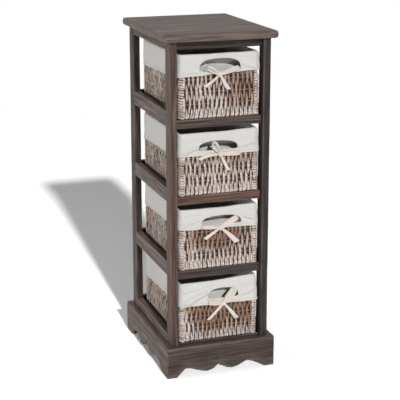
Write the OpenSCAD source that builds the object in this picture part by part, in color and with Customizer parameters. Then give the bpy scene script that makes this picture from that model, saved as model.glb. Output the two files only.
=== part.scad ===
// Slim storage cabinet of stained wood, open at the sides and back, with four woven
// baskets that slide in from the front. Each basket has a cloth liner and a ribbon bow.
// Millimetres, +Z up, front towards -Y, origin on the floor under the middle.
// Levels are numbered from the top: 1 is the highest shelf and 4 the lowest.

/* [Top board] */
// Width of the top board
cabinet_w = 250; // [230:5:320]
// Depth of the top board
cabinet_d = 320; // [290:5:400]
// Thickness of the top board
top_t = 16; // [14:1:24]
// How far the top board stands out past the posts
top_overhang = 13; // [9:1:18]
// Radius of the top board's corners, seen from above
top_corner_r = 8; // [4:1:12]
// Rounding along the top board's edges
top_edge_r = 6; // [3:0.5:6.5]

/* [Posts] */
// Width of a post, seen from the front
post_w = 17; // [15:1:22]
// Depth of a post, seen from the side
post_d = 28; // [24:1:36]
// Rounding of the posts' long edges
post_edge_r = 3; // [1:0.5:5]
// Height at which the posts end above the floor, behind the plinth
post_foot_z = 30; // [20:1:40]

/* [Bays and rails] */
// Height of the lowest shelf's upper face above the floor
first_shelf_z = 70; // [64:1:100]
// Clear height of a bay, from a shelf to the rail above it
bay_h = 146; // [120:1:200]
// Height of a front rail
rail_h = 19; // [16:1:26]
// Thickness of the front and back rails and aprons
rail_t = 13; // [11:0.5:14]
// Distance of the front rails behind the posts' front faces
rail_inset = 12; // [1:0.5:14]
// Distance of the back rails in from the posts' back faces
back_rail_inset = 1; // [0:0.5:3]
// Thickness of the side rails and side aprons
side_rail_t = 15; // [11:0.5:16]
// Distance of the side rails in from the posts' outer faces
side_rail_inset = 1.5; // [0:0.5:4]
// How far side and back rails reach down below the shelf
side_rail_drop = 12; // [8:1:20]
// How far side and back rails stand up above the shelf
side_rail_rise = 18; // [12:1:30]
// Height of the aprons under the top board
apron_h = 18; // [18:1:30]
// Rounding of the rails' long edges
rail_edge_r = 1.5; // [0.5:0.5:2.5]

/* [Shelves] */
// Thickness of a shelf panel
shelf_t = 4; // [3:0.5:6]
// How far a shelf panel reaches into the rails
groove_depth = 5; // [3:0.5:6]
// Clearance round a shelf panel in its grooves
panel_gap = 0.2; // [0.1:0.1:0.5]

/* [Plinth] */
// Height of the plinth
plinth_h = 69; // [50:1:90]
// Thickness of the plinth boards
plinth_t = 13; // [10:1:18]
// Rounding of the plinth's top edge and corners
plinth_edge_r = 4; // [2:0.5:6]
// Width of a foot at the end of the front and back boards
front_foot_w = 23; // [15:1:35]
// Width of a foot at the end of the side boards
side_foot_w = 43; // [25:1:60]
// Height of the arches next to the feet
arch_h = 22; // [12:1:28]
// Height of the rounded lobes above the floor
lobe_h = 8; // [4:1:11]
// Height of the pointed cusp at the middle
cusp_h = 28; // [14:1:34]

/* [Dowels] */
// Diameter of the dowels
dowel_d = 6; // [5:0.5:7]
// Depth of a dowel's hole in a post
dowel_in_post = 12; // [8:1:13]
// Depth of a dowel's hole in the end of a rail
dowel_in_rail = 16; // [10:1:25]
// Depth of an upright dowel's hole, in the top board and in the post alike
dowel_in_top = 9; // [6:1:9]
// Clearance round a dowel
dowel_gap = 0.1; // [0.05:0.05:0.2]

/* [Baskets] */
// Gap between a basket's cloth and the posts
basket_side_gap = 4; // [2:0.5:10]
// Gap between a basket's cloth rim and the rail above
basket_top_gap = 11; // [6:1:40]
// Distance of a basket's woven front behind the posts' front faces
basket_setback = 9; // [7:0.5:20]
// Gap between a basket's cloth and the back rail
basket_back_gap = 12; // [3:1:40]
// Thickness of the woven wall and floor
wall_t = 5; // [4:0.5:8]
// Radius of a basket's upright corners
basket_corner_r = 9; // [8:0.5:16]
// Rounding along a basket's bottom edges
basket_bottom_r = 8; // [4:0.5:12]
// Diameter of the wire hoop in the rim
hoop_d = 3; // [2.5:0.5:3.5]
// Height of a basket's bottom above the shelf while it stands there
slide_gap = 0.3; // [0.2:0.1:0.5]

/* [Weave] */
// Spacing of the upright strands
strand_pitch = 5; // [4:0.5:8]
// Height of the lowest level wire above the shelf
first_wire = 6.2; // [5:0.2:8]
// Spacing of the level wires that the strands pass in front of and behind in turn
wire_pitch = 25.6; // [20:0.2:32]
// How far a strand stands out past the wall's face in front of a wire
strand_out = 1; // [0:0.1:1.5]
// How far a strand lies back from the wall's face behind a wire
strand_in = 2; // [1:0.1:2.5]
// Width of a wrapped corner column beside its round corner
column_flat = 3; // [2:0.5:8]

/* [Hand-holes] */
// Width of the cloth hole
hole_w = 94; // [70:1:110]
// Height of the cloth hole
hole_h = 27; // [20:1:36]
// Distance of the cloth hole below the rim
hole_drop = 14; // [10:1:24]
// Extra opening of the woven hole all round the cloth hole
hole_margin = 3; // [1:0.5:5]

/* [Liners] */
// Thickness of the cloth, hems included
cloth_t = 1.2; // [0.8:0.1:2]
// Clearance between the cloth and the basket
cloth_gap = 0.4; // [0.3:0.1:0.8]
// How far the turned-over cloth hangs down from the rim
cuff_drop = 50; // [46:1:70]
// How far the hem swings up and down
hem_swing = 2.5; // [0:0.5:3]
// How far the folds of the cuff stand out at the hem
fold_out = 1.2; // [0:0.1:2]
// Number of folds round the cuff
folds = 14; // [6:1:16]

/* [Bows] */
// Width of the ribbon
ribbon_w = 9; // [6:0.5:12]
// Thickness of the ribbon
ribbon_t = 0.9; // [0.6:0.1:1.5]
// Length of a loop
loop_len = 40; // [25:1:50]
// Thickness of a loop where it bulges most
loop_bulge = 5; // [4:0.5:7]
// Length of a tail
tail_len = 34; // [20:1:50]
// Width of the knot
knot_w = 11; // [8:0.5:16]
// Rounding of the knot's corners
knot_r = 3; // [1:0.5:3.5]
// Clearance between the bow and the cuff
bow_gap = 0.3; // [0.2:0.1:0.6]

/* [Hidden] */
levels = 4;
sides = ["left", "right"];

wood = "#4d4442";
wood_light = "#5e5653";
ply = "#6b5f58";
beech = "#c9a878";
wicker = "#a89684";
steel = "#8a8d90";
cloth = "#e6e2dc";
ribbon = "#efe3d2";

// Overlap that lets a cut run cleanly past a face
past = 1;
// Steps in each rounded quarter of a wooden edge
edge_steps = 4;

// Outer faces of the posts, measured from the middle
post_x = cabinet_w / 2 - top_overhang;
post_y = cabinet_d / 2 - top_overhang;
// Inner faces of the posts
inner_x = post_x - post_w;
inner_y = post_y - post_d;
pitch = bay_h + rail_h;
function shelf_z(k) = first_shelf_z + (levels - k) * pitch;
apron_z = shelf_z(1) + bay_h;
top_z = apron_z + apron_h;
plinth_x = post_x + plinth_t;
plinth_y = post_y + plinth_t;

// Middle planes of the rails
front_rail_y = -post_y + rail_inset + rail_t / 2;
back_rail_y = post_y - back_rail_inset - rail_t / 2;
side_rail_x = post_x - side_rail_inset - side_rail_t / 2;
side_rail_h = side_rail_drop + side_rail_rise;

// Dowel places. Front rails are pinned in the wood under the shelf, side and back rails
// in the wood above it, so that the two dowels of a corner pass each other in the post.
dowel_hole_r = dowel_d / 2 + dowel_gap;
dowel_edge = dowel_d / 2 + 1.5;
front_dowel_z = -(shelf_t + rail_h) / 2;
side_dowel_z = side_rail_rise / 2;
apron_front_dowel_z = apron_z + dowel_edge;
apron_side_dowel_z = top_z - dowel_edge;
top_dowel_x = post_x - post_w / 2;
top_dowel_y = post_y - dowel_edge - 2.5;

// Basket sizes follow from the bay that it slides into
cuff_bulk = cloth_gap + cloth_t + fold_out;
basket_w = 2 * (inner_x - basket_side_gap - cuff_bulk);
basket_front = -post_y + basket_setback;
basket_back = post_y - back_rail_inset - rail_t - basket_back_gap - cuff_bulk;
basket_d = basket_back - basket_front;
basket_y = (basket_back + basket_front) / 2;
rim_z = bay_h - basket_top_gap;
wall_top = rim_z - hoop_d / 2 - cloth_gap - cloth_t;
floor_top = slide_gap + wall_t;
cuff_end = rim_z - cuff_drop;
// The hand-holes of hand-made baskets sit a little higher or lower from one to the next
hole_shift = [3, 0, 1, -4];
function hole_z(k) = rim_z - hole_drop - hole_h / 2 + hole_shift[k - 1];
function bow_z(k) = rim_z - (hole_drop + hole_h + cuff_drop) / 2 + hole_shift[k - 1];
bow_back = basket_front - cuff_bulk - bow_gap;

// Points of an arc round c
function arc(c, r, a0, a1, n) =
    [for (i = [0:n]) let (a = a0 + (a1 - a0) * i / n) c + r * [cos(a), sin(a)]];

// Outline of a rectangle w by d with rounded corners
function round_rect(w, d, r, n) = concat(
    arc([w / 2 - r, d / 2 - r], r, 0, 90, n),
    arc([r - w / 2, d / 2 - r], r, 90, 180, n),
    arc([r - w / 2, r - d / 2], r, 180, 270, n),
    arc([w / 2 - r, r - d / 2], r, 270, 360, n)
);

// Extrusion of an upright outline (across, up) through the depth, centred on y = 0
module through_y(length) {
    rotate([90, 0, 0]) linear_extrude(length, center = true) children();
}

// Extrusion of an upright outline (along y, up) through the width, centred on x = 0
module through_x(length) {
    rotate([90, 0, 90]) linear_extrude(length, center = true) children();
}

module mirror_copy(v) {
    children();
    mirror(v) children();
}

module top_board() {
    color(wood_light)
    difference() {
        translate([0, 0, top_z]) intersection() {
            linear_extrude(top_t)
                polygon(round_rect(cabinet_w, cabinet_d, top_corner_r, 2 * edge_steps));
            translate([0, 0, top_t / 2]) through_y(cabinet_d + 2 * past)
                polygon(round_rect(cabinet_w, top_t, top_edge_r, edge_steps));
            translate([0, 0, top_t / 2]) through_x(cabinet_w + 2 * past)
                polygon(round_rect(cabinet_d, top_t, top_edge_r, edge_steps));
        }
        mirror_copy([1, 0, 0]) mirror_copy([0, 1, 0])
            translate([top_dowel_x, top_dowel_y, top_z - past])
                cylinder(h = dowel_in_top + past, r = dowel_hole_r, $fn = 48);
    }
}

// Holes of one corner post, drawn for the front right one: along x for the front or back
// rails, along y for the side rails, and one on top. rail_y is the distance of the front
// or back rail's middle plane from the cabinet's, rail_z its dowel's height at a shelf.
module post_holes(rail_y, rail_z) {
    for (z = [for (k = [1:levels]) shelf_z(k) + rail_z, apron_front_dowel_z])
        translate([inner_x - past, -rail_y, z]) rotate([0, 90, 0])
            cylinder(h = dowel_in_post + past, r = dowel_hole_r, $fn = 48);
    for (z = [for (k = [1:levels]) shelf_z(k) + side_dowel_z, apron_side_dowel_z])
        translate([side_rail_x, -inner_y + past, z]) rotate([90, 0, 0])
            cylinder(h = dowel_in_post + past, r = dowel_hole_r, $fn = 48);
    translate([top_dowel_x, -top_dowel_y, top_z - dowel_in_top])
        cylinder(h = dowel_in_top + past, r = dowel_hole_r, $fn = 48);
}

module corner_post(rail_y, rail_z) {
    color(wood)
    difference() {
        translate([post_x - post_w / 2, -post_y + post_d / 2, post_foot_z])
            linear_extrude(top_z - post_foot_z)
                polygon(round_rect(post_w, post_d, post_edge_r, edge_steps));
        post_holes(rail_y, rail_z);
    }
}

module post_front_right() corner_post(-front_rail_y, front_dowel_z);
module post_front_left() mirror([1, 0, 0]) post_front_right();
module post_back_right() mirror([0, 1, 0]) corner_post(back_rail_y, side_dowel_z);
module post_back_left() mirror([1, 0, 0]) post_back_right();

// A rail along x between the posts. profile is its section with y outwards from the
// cabinet's middle and z up, and the dowel holes are drilled into both ends.
module cross_rail(profile, hole_y, hole_z) {
    difference() {
        through_x(2 * inner_x) polygon(profile);
        mirror_copy([1, 0, 0])
            translate([inner_x - dowel_in_rail, hole_y, hole_z]) rotate([0, 90, 0])
                cylinder(h = dowel_in_rail + past, r = dowel_hole_r, $fn = 48);
    }
}

// A rail along y between the posts, on the right. profile has x outwards and z up.
module long_rail(profile, hole_z) {
    difference() {
        through_y(2 * inner_y) polygon(profile);
        mirror_copy([0, 1, 0])
            translate([side_rail_x, inner_y - dowel_in_rail, hole_z]) rotate([-90, 0, 0])
                cylinder(h = dowel_in_rail + past, r = dowel_hole_r, $fn = 48);
    }
}

// Plain bar section from (a, z0) to (b, z1) with four rounded edges
function bar(a, b, z0, z1) = [for (p = round_rect(b - a, z1 - z0, rail_edge_r, edge_steps))
    p + [(a + b) / 2, (z0 + z1) / 2]];

// Inner and outer faces of the rails, as distances from the middle planes
front_out = post_y - rail_inset;
front_in = front_out - rail_t;
back_out = post_y - back_rail_inset;
back_in = back_out - rail_t;
side_out = post_x - side_rail_inset;
side_in = side_out - side_rail_t;

// Front rail: a rounded bar with a rebate along its inner top edge for the shelf panel
module front_rail(k) {
    color(wood)
    translate([0, 0, shelf_z(k)]) mirror([0, 1, 0]) difference() {
        cross_rail(bar(front_in, front_out, -rail_h, 0), -front_rail_y, front_dowel_z);
        through_x(2 * inner_x + 2 * past)
            translate([front_in - past, -shelf_t]) square([groove_depth + past, shelf_t + past]);
    }
}

// Back rail: stands up behind the basket, with a groove for the shelf panel
module back_rail(k) {
    color(wood)
    translate([0, 0, shelf_z(k)]) difference() {
        cross_rail(bar(back_in, back_out, -side_rail_drop, side_rail_rise), back_rail_y,
            side_dowel_z);
        through_x(2 * inner_x + 2 * past)
            translate([back_in - past, -shelf_t]) square([groove_depth + past, shelf_t]);
    }
}

module side_rail_right(k) {
    color(wood)
    translate([0, 0, shelf_z(k)]) difference() {
        long_rail(bar(side_in, side_out, -side_rail_drop, side_rail_rise), side_dowel_z);
        through_y(2 * inner_y + 2 * past)
            translate([side_in - past, -shelf_t]) square([groove_depth + past, shelf_t]);
    }
}

module side_rail_left(k) mirror([1, 0, 0]) side_rail_right(k);

module front_apron() {
    color(wood)
    mirror([0, 1, 0])
        cross_rail(bar(front_in, front_out, apron_z, top_z), -front_rail_y, apron_front_dowel_z);
}

module back_apron() {
    color(wood)
    cross_rail(bar(back_in, back_out, apron_z, top_z), back_rail_y, apron_front_dowel_z);
}

module side_apron_right() {
    color(wood)
    long_rail(bar(side_in, side_out, apron_z, top_z), apron_side_dowel_z);
}

module side_apron_left() mirror([1, 0, 0]) side_apron_right();

// Shelf panel: plywood that reaches into the rails and is notched round the posts
module shelf(k) {
    reach = groove_depth - panel_gap;
    color(ply)
    translate([0, 0, shelf_z(k) - shelf_t + panel_gap / 2])
        linear_extrude(shelf_t - panel_gap) {
            translate([-side_in - reach, panel_gap - inner_y])
                square([2 * (side_in + reach), 2 * (inner_y - panel_gap)]);
            translate([panel_gap - inner_x, -front_in - reach])
                square([2 * (inner_x - panel_gap), front_in + back_in + 2 * reach]);
        }
}

// Lower edge of a plinth board from its middle (a cusp) out to the foot, over a span s:
// up-turned cusp, rounded lobe, arch, then the foot's curved inner side.
lobe_at = 0.28;
arch_at = 0.70;
wave_steps = 8;
function half_wave(x0, z0, x1, z1) = [for (i = [1:wave_steps]) let (t = i / wave_steps)
    [x0 + (x1 - x0) * t, z0 + (z1 - z0) * (1 - cos(180 * t)) / 2]];
function scallop(s) = concat(
    [[0, cusp_h]],
    [for (i = [1:wave_steps]) let (t = i / wave_steps)
        [lobe_at * s * t, lobe_h + (cusp_h - lobe_h) * (1 - sin(90 * t))]],
    half_wave(lobe_at * s, lobe_h, arch_at * s, arch_h),
    [for (i = [1:wave_steps]) let (t = i / wave_steps)
        [s * (arch_at + (1 - arch_at) * t), arch_h * cos(90 * t)]]
);

// Upright outline of a plinth board of half length l with feet foot_w wide
function plinth_outline(l, foot_w) = let (half = scallop(l - foot_w)) concat(
    [for (i = [len(half) - 1:-1:1]) [-half[i].x, half[i].y]],
    half,
    [[l, 0], [l, plinth_h], [-l, plinth_h], [-l, 0]]
);

// The board's section: across from its inner face outwards, with a rounded top edge
plinth_section = concat(
    [[0, -past], [plinth_t, -past]],
    arc([plinth_t - plinth_edge_r, plinth_h - plinth_edge_r], plinth_edge_r, 0, 90, edge_steps),
    [[0, plinth_h]]
);

// A plinth board on the +y side. Its ends are mitred at the corners of the plinth.
module plinth_board(l, inner, foot_w, corner_x, corner_y) {
    color(wood)
    intersection() {
        translate([0, inner + plinth_t / 2, 0]) through_y(plinth_t + 2 * past)
            polygon(plinth_outline(l, foot_w));
        through_x(2 * l + 2 * past) translate([inner, 0]) polygon(plinth_section);
        linear_extrude(plinth_h)
            polygon([[l - plinth_t, inner], [l, inner + plinth_t], [-l, inner + plinth_t],
                [plinth_t - l, inner]]);
        linear_extrude(plinth_h)
            polygon(round_rect(2 * corner_x, 2 * corner_y, plinth_edge_r, edge_steps));
    }
}

module plinth_back() plinth_board(plinth_x, post_y, front_foot_w, plinth_x, plinth_y);
module plinth_front() mirror([0, 1, 0]) plinth_back();
module plinth_left()
    rotate([0, 0, 90]) plinth_board(plinth_y, post_x, side_foot_w, plinth_y, plinth_x);
module plinth_right() mirror([1, 0, 0]) plinth_left();

// Four dowels between the posts and the top board
module top_dowels() {
    color(beech)
    mirror_copy([1, 0, 0]) mirror_copy([0, 1, 0])
        translate([top_dowel_x, top_dowel_y, top_z - dowel_in_top + dowel_gap])
            cylinder(h = 2 * (dowel_in_top - dowel_gap), d = dowel_d, $fn = 48);
}

// The dowels between rails and posts, one at each end of every rail and apron
module rail_dowels() {
    length = dowel_in_post + dowel_in_rail - 2 * dowel_gap;
    color(beech)
    mirror_copy([1, 0, 0]) {
        for (z = [for (k = [1:levels]) shelf_z(k) + front_dowel_z, apron_front_dowel_z])
            translate([inner_x - dowel_in_rail + dowel_gap, front_rail_y, z])
                rotate([0, 90, 0]) cylinder(h = length, d = dowel_d, $fn = 48);
        for (z = [for (k = [1:levels]) shelf_z(k) + side_dowel_z, apron_front_dowel_z])
            translate([inner_x - dowel_in_rail + dowel_gap, back_rail_y, z])
                rotate([0, 90, 0]) cylinder(h = length, d = dowel_d, $fn = 48);
        for (z = [for (k = [1:levels]) shelf_z(k) + side_dowel_z, apron_side_dowel_z])
            mirror_copy([0, 1, 0])
                translate([side_rail_x, inner_y - dowel_in_rail + dowel_gap, z])
                    rotate([-90, 0, 0]) cylinder(h = length, d = dowel_d, $fn = 48);
    }
}

// Outline of a hand-hole: a high arch over a flatter lower edge, grown by m all round
hole_steps = 10;
function hole_outline(m) = [for (i = [0:4 * hole_steps - 1])
    let (a = 90 * i / hole_steps, c = cos(a), s = sin(a), flat = s < 0 ? 0.45 : 0.75)
    [(hole_w / 2 + m) * sign(c) * pow(abs(c), 0.75), (hole_h / 2 + m) * sign(s) * pow(abs(s), flat)]];

// Hand-hole through the front of the basket and its liner
module hand_hole(k, m) {
    translate([0, basket_front, hole_z(k)]) rotate([90, 0, 0])
        linear_extrude(4 * (wall_t + cuff_bulk), center = true) polygon(hole_outline(m));
}

// The weave shows as a belt from the basket's curved foot up to the cloth. At each level
// wire every second strand is in front and the others are behind, and at the next wire
// they change places, so that the strands are tall lozenges laid like bricks.
hem_clear = 1;
foot_band = 3;
weave_low = slide_gap + basket_bottom_r + foot_band;
weave_top = cuff_end - hem_swing - hem_clear;
wires = floor((weave_top - first_wire) / wire_pitch - 0.25);
weave_z = concat([weave_low], [for (j = [1:wires]) first_wire + j * wire_pitch], [weave_top]);

// Strands at one row along a straight side from a to b, as points x, y and 1 in front or
// 0 behind, counted in steps from the edge of one corner column to that of the next, each
// with a groove beside it. share is 1 at a wire and 0 where the belt meets the plain wall.
function strand_row(a, b, row, share) =
    let (l = norm(b - a), u = (b - a) / l, out = share * [u.y, -u.x],
        n = round((l - 2 * column_flat) / strand_pitch), step = (l - 2 * column_flat) / n)
    [for (s = concat([0, 0.5], [for (i = [1:n - 1]) i], [n - 0.5, n]))
        let (front = s == 0 || s == n || (s + row) % 2 == 0,
            p = a + u * (column_flat + s * step) + out * (front ? strand_out : -strand_in))
        [p.x, p.y, front ? 1 : 0]];

// The belt's outline at one row, in four parts: a round corner and the side after it
corner_pts = edge_steps + 1;
function belt_parts(row) =
    let (share = row == 0 || row == wires + 1 ? 0 : 1, o = share * strand_out, m = corner_pts,
        wall = round_rect(basket_w, basket_d, basket_corner_r, edge_steps),
        column = round_rect(basket_w + 2 * o, basket_d + 2 * o, basket_corner_r + o, edge_steps))
    [for (c = [0:3]) concat(
        [for (i = [0:m - 1]) [column[c * m + i].x, column[c * m + i].y, 1]],
        strand_row(wall[c * m + m - 1], wall[(c + 1) % 4 * m], row, share))];

// Plain outline of the basket, drawn in by o, at height z
function wall_ring(o, z) = [for (p = round_rect(basket_w - 2 * o, basket_d - 2 * o,
    max(basket_corner_r - o, 0.5), edge_steps)) [p.x, p.y, z]];

// Faces between two outlines of the belt, from points a and b. Each four-sided patch is
// creased between its two corners that lie behind.
function weave_faces(low, high, a, b) = let (n = len(low)) [for (i = [0:n - 1])
    let (k = (i + 1) % n, rise = low[i].z + high[k].z, fall = low[k].z + high[i].z)
    each rise > fall ? [[a + i, b + i, a + k], [a + k, b + i, b + k]]
        : [[a + i, b + k, a + k], [a + i, b + i, b + k]]];

// Faces between a plain outline from point a and one of the belt from point b, whose four
// parts start at the places in at. up tells that the belt's is the upper one.
function joining_faces(a, b, at, up) = [for (c = [0:3])
    let (m = corner_pts, p = a + c * m, q = b + at[c], next_p = a + (c + 1) % 4 * m,
        side = concat([p + m - 1], [for (i = [q + m - 1:b + at[c + 1] - 1]) i],
            [b + at[c + 1] % at[4], next_p]))
    each [for (f = concat([for (i = [0:m - 2]) [p + i, q + i, q + i + 1, p + i + 1]], [side]))
        up ? f : backwards(f)]];

function ring_faces(a, b, n) = [for (i = [0:n - 1]) let (k = (i + 1) % n)
    [a + i, b + i, b + k, a + k]];

// The basket's outside as one closed body: the foot, the belt and the wall above it
module woven_block() {
    foot = [for (i = [0:edge_steps]) let (a = 90 * i / edge_steps)
        wall_ring(basket_bottom_r * (1 - sin(a)), slide_gap + basket_bottom_r * (1 - cos(a)))];
    parts = belt_parts(0);
    at = [for (c = [0:4]) c == 0 ? 0 : len([for (i = [0:c - 1]) each parts[i]])];
    belt = [for (row = [0:wires + 1]) [for (part = belt_parts(row)) each part]];
    n = 4 * corner_pts;
    low = len(foot) * n;
    high = low + (wires + 1) * at[4];
    over = high + at[4];
    polyhedron(
        points = concat(
            [for (ring = foot) each ring],
            [for (row = [0:wires + 1], p = belt[row]) [p.x, p.y, weave_z[row]]],
            wall_ring(0, wall_top)
        ),
        faces = concat(
            [[for (i = [0:n - 1]) i]],
            [for (i = [0:edge_steps - 1]) each ring_faces(i * n, (i + 1) * n, n)],
            joining_faces(low - n, low, at, true),
            [for (row = [0:wires]) each weave_faces(belt[row], belt[row + 1],
                low + row * at[4], low + (row + 1) * at[4])],
            joining_faces(over, high, at, false),
            [[for (i = [n - 1:-1:0]) over + i]]
        )
    );
}

// Woven basket: an open box with round upright corners, a bottom edge that curves under,
// a channel in the rim for the wire hoop, and the hand-hole
module basket(k) {
    inset = 2 * wall_t;
    color(wicker)
    translate([0, 0, shelf_z(k)]) difference() {
        translate([0, basket_y, 0]) woven_block();
        translate([0, basket_y, floor_top]) linear_extrude(rim_z)
            polygon(round_rect(basket_w - inset, basket_d - inset,
                basket_corner_r - wall_t, edge_steps));
        translate([0, basket_y, wall_top - hoop_d / 2 - cloth_gap]) linear_extrude(rim_z)
            hoop_band(hoop_d + 2 * dowel_gap);
        hand_hole(k, hole_margin);
    }
}

// A closed band of width w along the middle of the basket's wall
module hoop_band(w) {
    mid_w = basket_w - wall_t;
    mid_d = basket_d - wall_t;
    mid_r = basket_corner_r - wall_t / 2;
    difference() {
        polygon(round_rect(mid_w + w, mid_d + w, mid_r + w / 2, edge_steps));
        polygon(round_rect(mid_w - w, mid_d - w, mid_r - w / 2, edge_steps));
    }
}

// Wire hoop that keeps the rim straight: four straight wires and four quarter bends
module basket_hoop(k) {
    x = basket_w / 2 - wall_t / 2;
    y = basket_d / 2 - wall_t / 2;
    r = basket_corner_r - wall_t / 2;
    color(steel)
    translate([0, basket_y, shelf_z(k) + wall_top]) mirror_copy([1, 0, 0]) mirror_copy([0, 1, 0]) {
        translate([x - r, y - r, 0]) rotate_extrude(angle = 90, $fn = 48)
            translate([r, 0]) circle(d = hoop_d, $fn = 24);
        translate([x, 0, 0]) rotate([-90, 0, 0]) cylinder(h = y - r, d = hoop_d, $fn = 24);
        translate([0, y, 0]) rotate([0, 90, 0]) cylinder(h = x - r, d = hoop_d, $fn = 24);
    }
}

// Cloth liner, as rings of points round the basket, each ring a rounded rectangle at an
// offset o from the wall's outer face. side_n and end_n are the steps along the straight
// sides, and corner_n those of a corner.
side_n = 9;
end_n = 8;
corner_n = 4;
function lerp_pts(a, b, n) = [for (i = [1:n - 1]) a + (b - a) * i / n];
function ring_xy(o) =
    let (w = basket_w / 2 + o, d = basket_d / 2 + o, r = basket_corner_r + max(o, -wall_t),
        c = [[w - r, r - d], [w - r, d - r], [r - w, d - r], [r - w, r - d]],
        q = [for (i = [0:3]) arc(c[i], r, 90 * i - 90, 90 * i, corner_n)])
    concat(
        q[0], lerp_pts(q[0][corner_n], q[1][0], side_n),
        q[1], lerp_pts(q[1][corner_n], q[2][0], end_n),
        q[2], lerp_pts(q[2][corner_n], q[3][0], side_n),
        q[3], lerp_pts(q[3][corner_n], q[0][0], end_n)
    );
ring_n = len(ring_xy(0));
front_i = ring_n - end_n / 2;

// One ring at offset o and height z. f is the share of the folds and the hem's swing.
function cloth_ring(o, z, f) = let (p = ring_xy(o)) [for (i = [0:ring_n - 1])
    let (a = 360 * (i - front_i) / ring_n, out = f * fold_out * (1 + cos(folds * a)) / 2,
        g = ring_xy(o + out))
    [g[i].x, g[i].y + basket_y, z + f * hem_swing * sin(2 * a + 40)]];

// Stations of the section over the hoop, on an ellipse grown by t, from inside to outside
rim_n = 4;
function over_rim(t) = [for (i = [0:rim_n]) let (a = 180 - 180 * i / rim_n)
    [-wall_t / 2 + (wall_t / 2 + cloth_gap + t) * cos(a),
        wall_top + (hoop_d / 2 + cloth_gap + t) * sin(a), 0]];
function backwards(v) = [for (i = [len(v) - 1:-1:0]) v[i]];
cuff_mid = rim_z - cuff_drop / 2;
lining_o = -wall_t - cloth_gap;
lining_z = floor_top + cloth_gap;
cloth_section = concat(
    [[lining_o - cloth_t, lining_z + cloth_t, 0]],
    over_rim(cloth_t),
    [[cloth_gap + cloth_t, cuff_mid, 0.4], [cloth_gap + cloth_t, cuff_end, 1],
        [cloth_gap, cuff_end, 1], [cloth_gap, cuff_mid, 0.4]],
    backwards(over_rim(0)),
    [[lining_o, lining_z, 0]]
);

// The rings joined up, with the upper and lower face of the floor as fans round a middle
module cloth_body() {
    rings = [for (s = cloth_section) cloth_ring(s[0], s[1], s[2])];
    last = len(rings) - 1;
    top_mid = len(rings) * ring_n;
    polyhedron(
        points = concat([for (r = rings) each r],
            [[0, basket_y, cloth_section[0][1]], [0, basket_y, cloth_section[last][1]]]),
        faces = concat(
            [for (i = [0:ring_n - 1]) [(i + 1) % ring_n, i, top_mid]],
            [for (j = [0:last - 1], i = [0:ring_n - 1]) let (n = (i + 1) % ring_n,
                a = j * ring_n + i, b = j * ring_n + n, c = b + ring_n, d = a + ring_n)
                each [[a, b, c], [a, c, d]]],
            [for (i = [0:ring_n - 1]) [last * ring_n + i, last * ring_n + (i + 1) % ring_n,
                top_mid + 1]]
        )
    );
}

module liner(k) {
    color(cloth)
    translate([0, 0, shelf_z(k)]) difference() {
        cloth_body();
        hand_hole(k, 0);
    }
}

// Half thickness of a loop along its length, t from 0 at the knot to 1 at the fold
loop_n = 10;
loop_root = 0.3;
function loop_half(t) = loop_bulge / 2 * pow(sin(180 * pow(t, 0.8)), 0.8) + loop_root;
function loop_outline(l, inner) = let (h = [for (i = [0:loop_n])
        max(loop_half(i / loop_n) - inner, 0.05)])
    concat([for (i = [0:loop_n]) [l * i / loop_n, h[i]]],
        [for (i = [loop_n:-1:0]) [l * i / loop_n, -h[i]]]);

// A loop of ribbon of length l that leaves the knot at the given angle. It is pinched
// at the knot.
module bow_loop(l, angle) {
    rotate([0, -angle, 0]) translate([0, -loop_bulge / 2 - loop_root, 0]) intersection() {
        linear_extrude(ribbon_w, center = true) difference() {
            polygon(loop_outline(l, 0));
            translate([ribbon_t, 0]) scale([1 - 2 * ribbon_t / l, 1])
                polygon(loop_outline(l, ribbon_t));
        }
        rotate([90, 0, 0]) linear_extrude(2 * loop_bulge, center = true)
            polygon([[0, -ribbon_w / 4], [l / 2, -ribbon_w / 2], [l, -ribbon_w / 2],
                [l, ribbon_w / 2], [l / 2, ribbon_w / 2], [0, ribbon_w / 4]]);
    }
}

// A tail of ribbon of length l that hangs from the knot, with a slanted end
module bow_tail(l, angle) {
    translate([0, -ribbon_t / 2 - loop_root, 0]) rotate([90, 0, 0])
        linear_extrude(ribbon_t, center = true) rotate(angle)
            polygon([[0, -ribbon_w / 3], [0, ribbon_w / 3], [l - ribbon_w / 2, ribbon_w / 2],
                [l, -ribbon_w / 2]]);
}

// The four bows were tied by hand: length factor and angle of the left and right loop
// and of the left and right tail
left_loop = [[1, 150], [0.8, 122], [1, 167], [0.9, 167]];
right_loop = [[1, 18], [0.95, -8], [0.95, 28], [0.9, 42]];
left_tail = [[1.05, 210], [1.4, 189], [1.1, 204], [1.35, 218]];
right_tail = [[1.15, 297], [1.4, 289], [1.5, 317], [1.5, 306]];

module bow(k) {
    color(ribbon)
    translate([0, bow_back, shelf_z(k) + bow_z(k)]) {
        bow_loop(loop_len * left_loop[k - 1][0], left_loop[k - 1][1]);
        bow_loop(loop_len * right_loop[k - 1][0], right_loop[k - 1][1]);
        bow_tail(tail_len * left_tail[k - 1][0], left_tail[k - 1][1]);
        bow_tail(tail_len * right_tail[k - 1][0], right_tail[k - 1][1]);
        translate([0, -(loop_bulge + 2 * loop_root) / 2, 0]) rotate([90, 0, 0])
            linear_extrude(loop_bulge + 2 * loop_root, center = true)
                polygon(round_rect(knot_w, knot_w * 0.9, knot_r, edge_steps));
    }
}

top_board();
post_front_left();
post_front_right();
post_back_left();
post_back_right();
front_apron();
back_apron();
side_apron_left();
side_apron_right();
plinth_front();
plinth_back();
plinth_left();
plinth_right();
top_dowels();
rail_dowels();
for (k = [1:levels]) {
    front_rail(k);
    back_rail(k);
    side_rail_left(k);
    side_rail_right(k);
    shelf(k);
    basket(k);
    basket_hoop(k);
    liner(k);
    bow(k);
}
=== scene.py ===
# Storage cabinet with four woven baskets: the look of the part, built round its CAD frame.
import math

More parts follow.
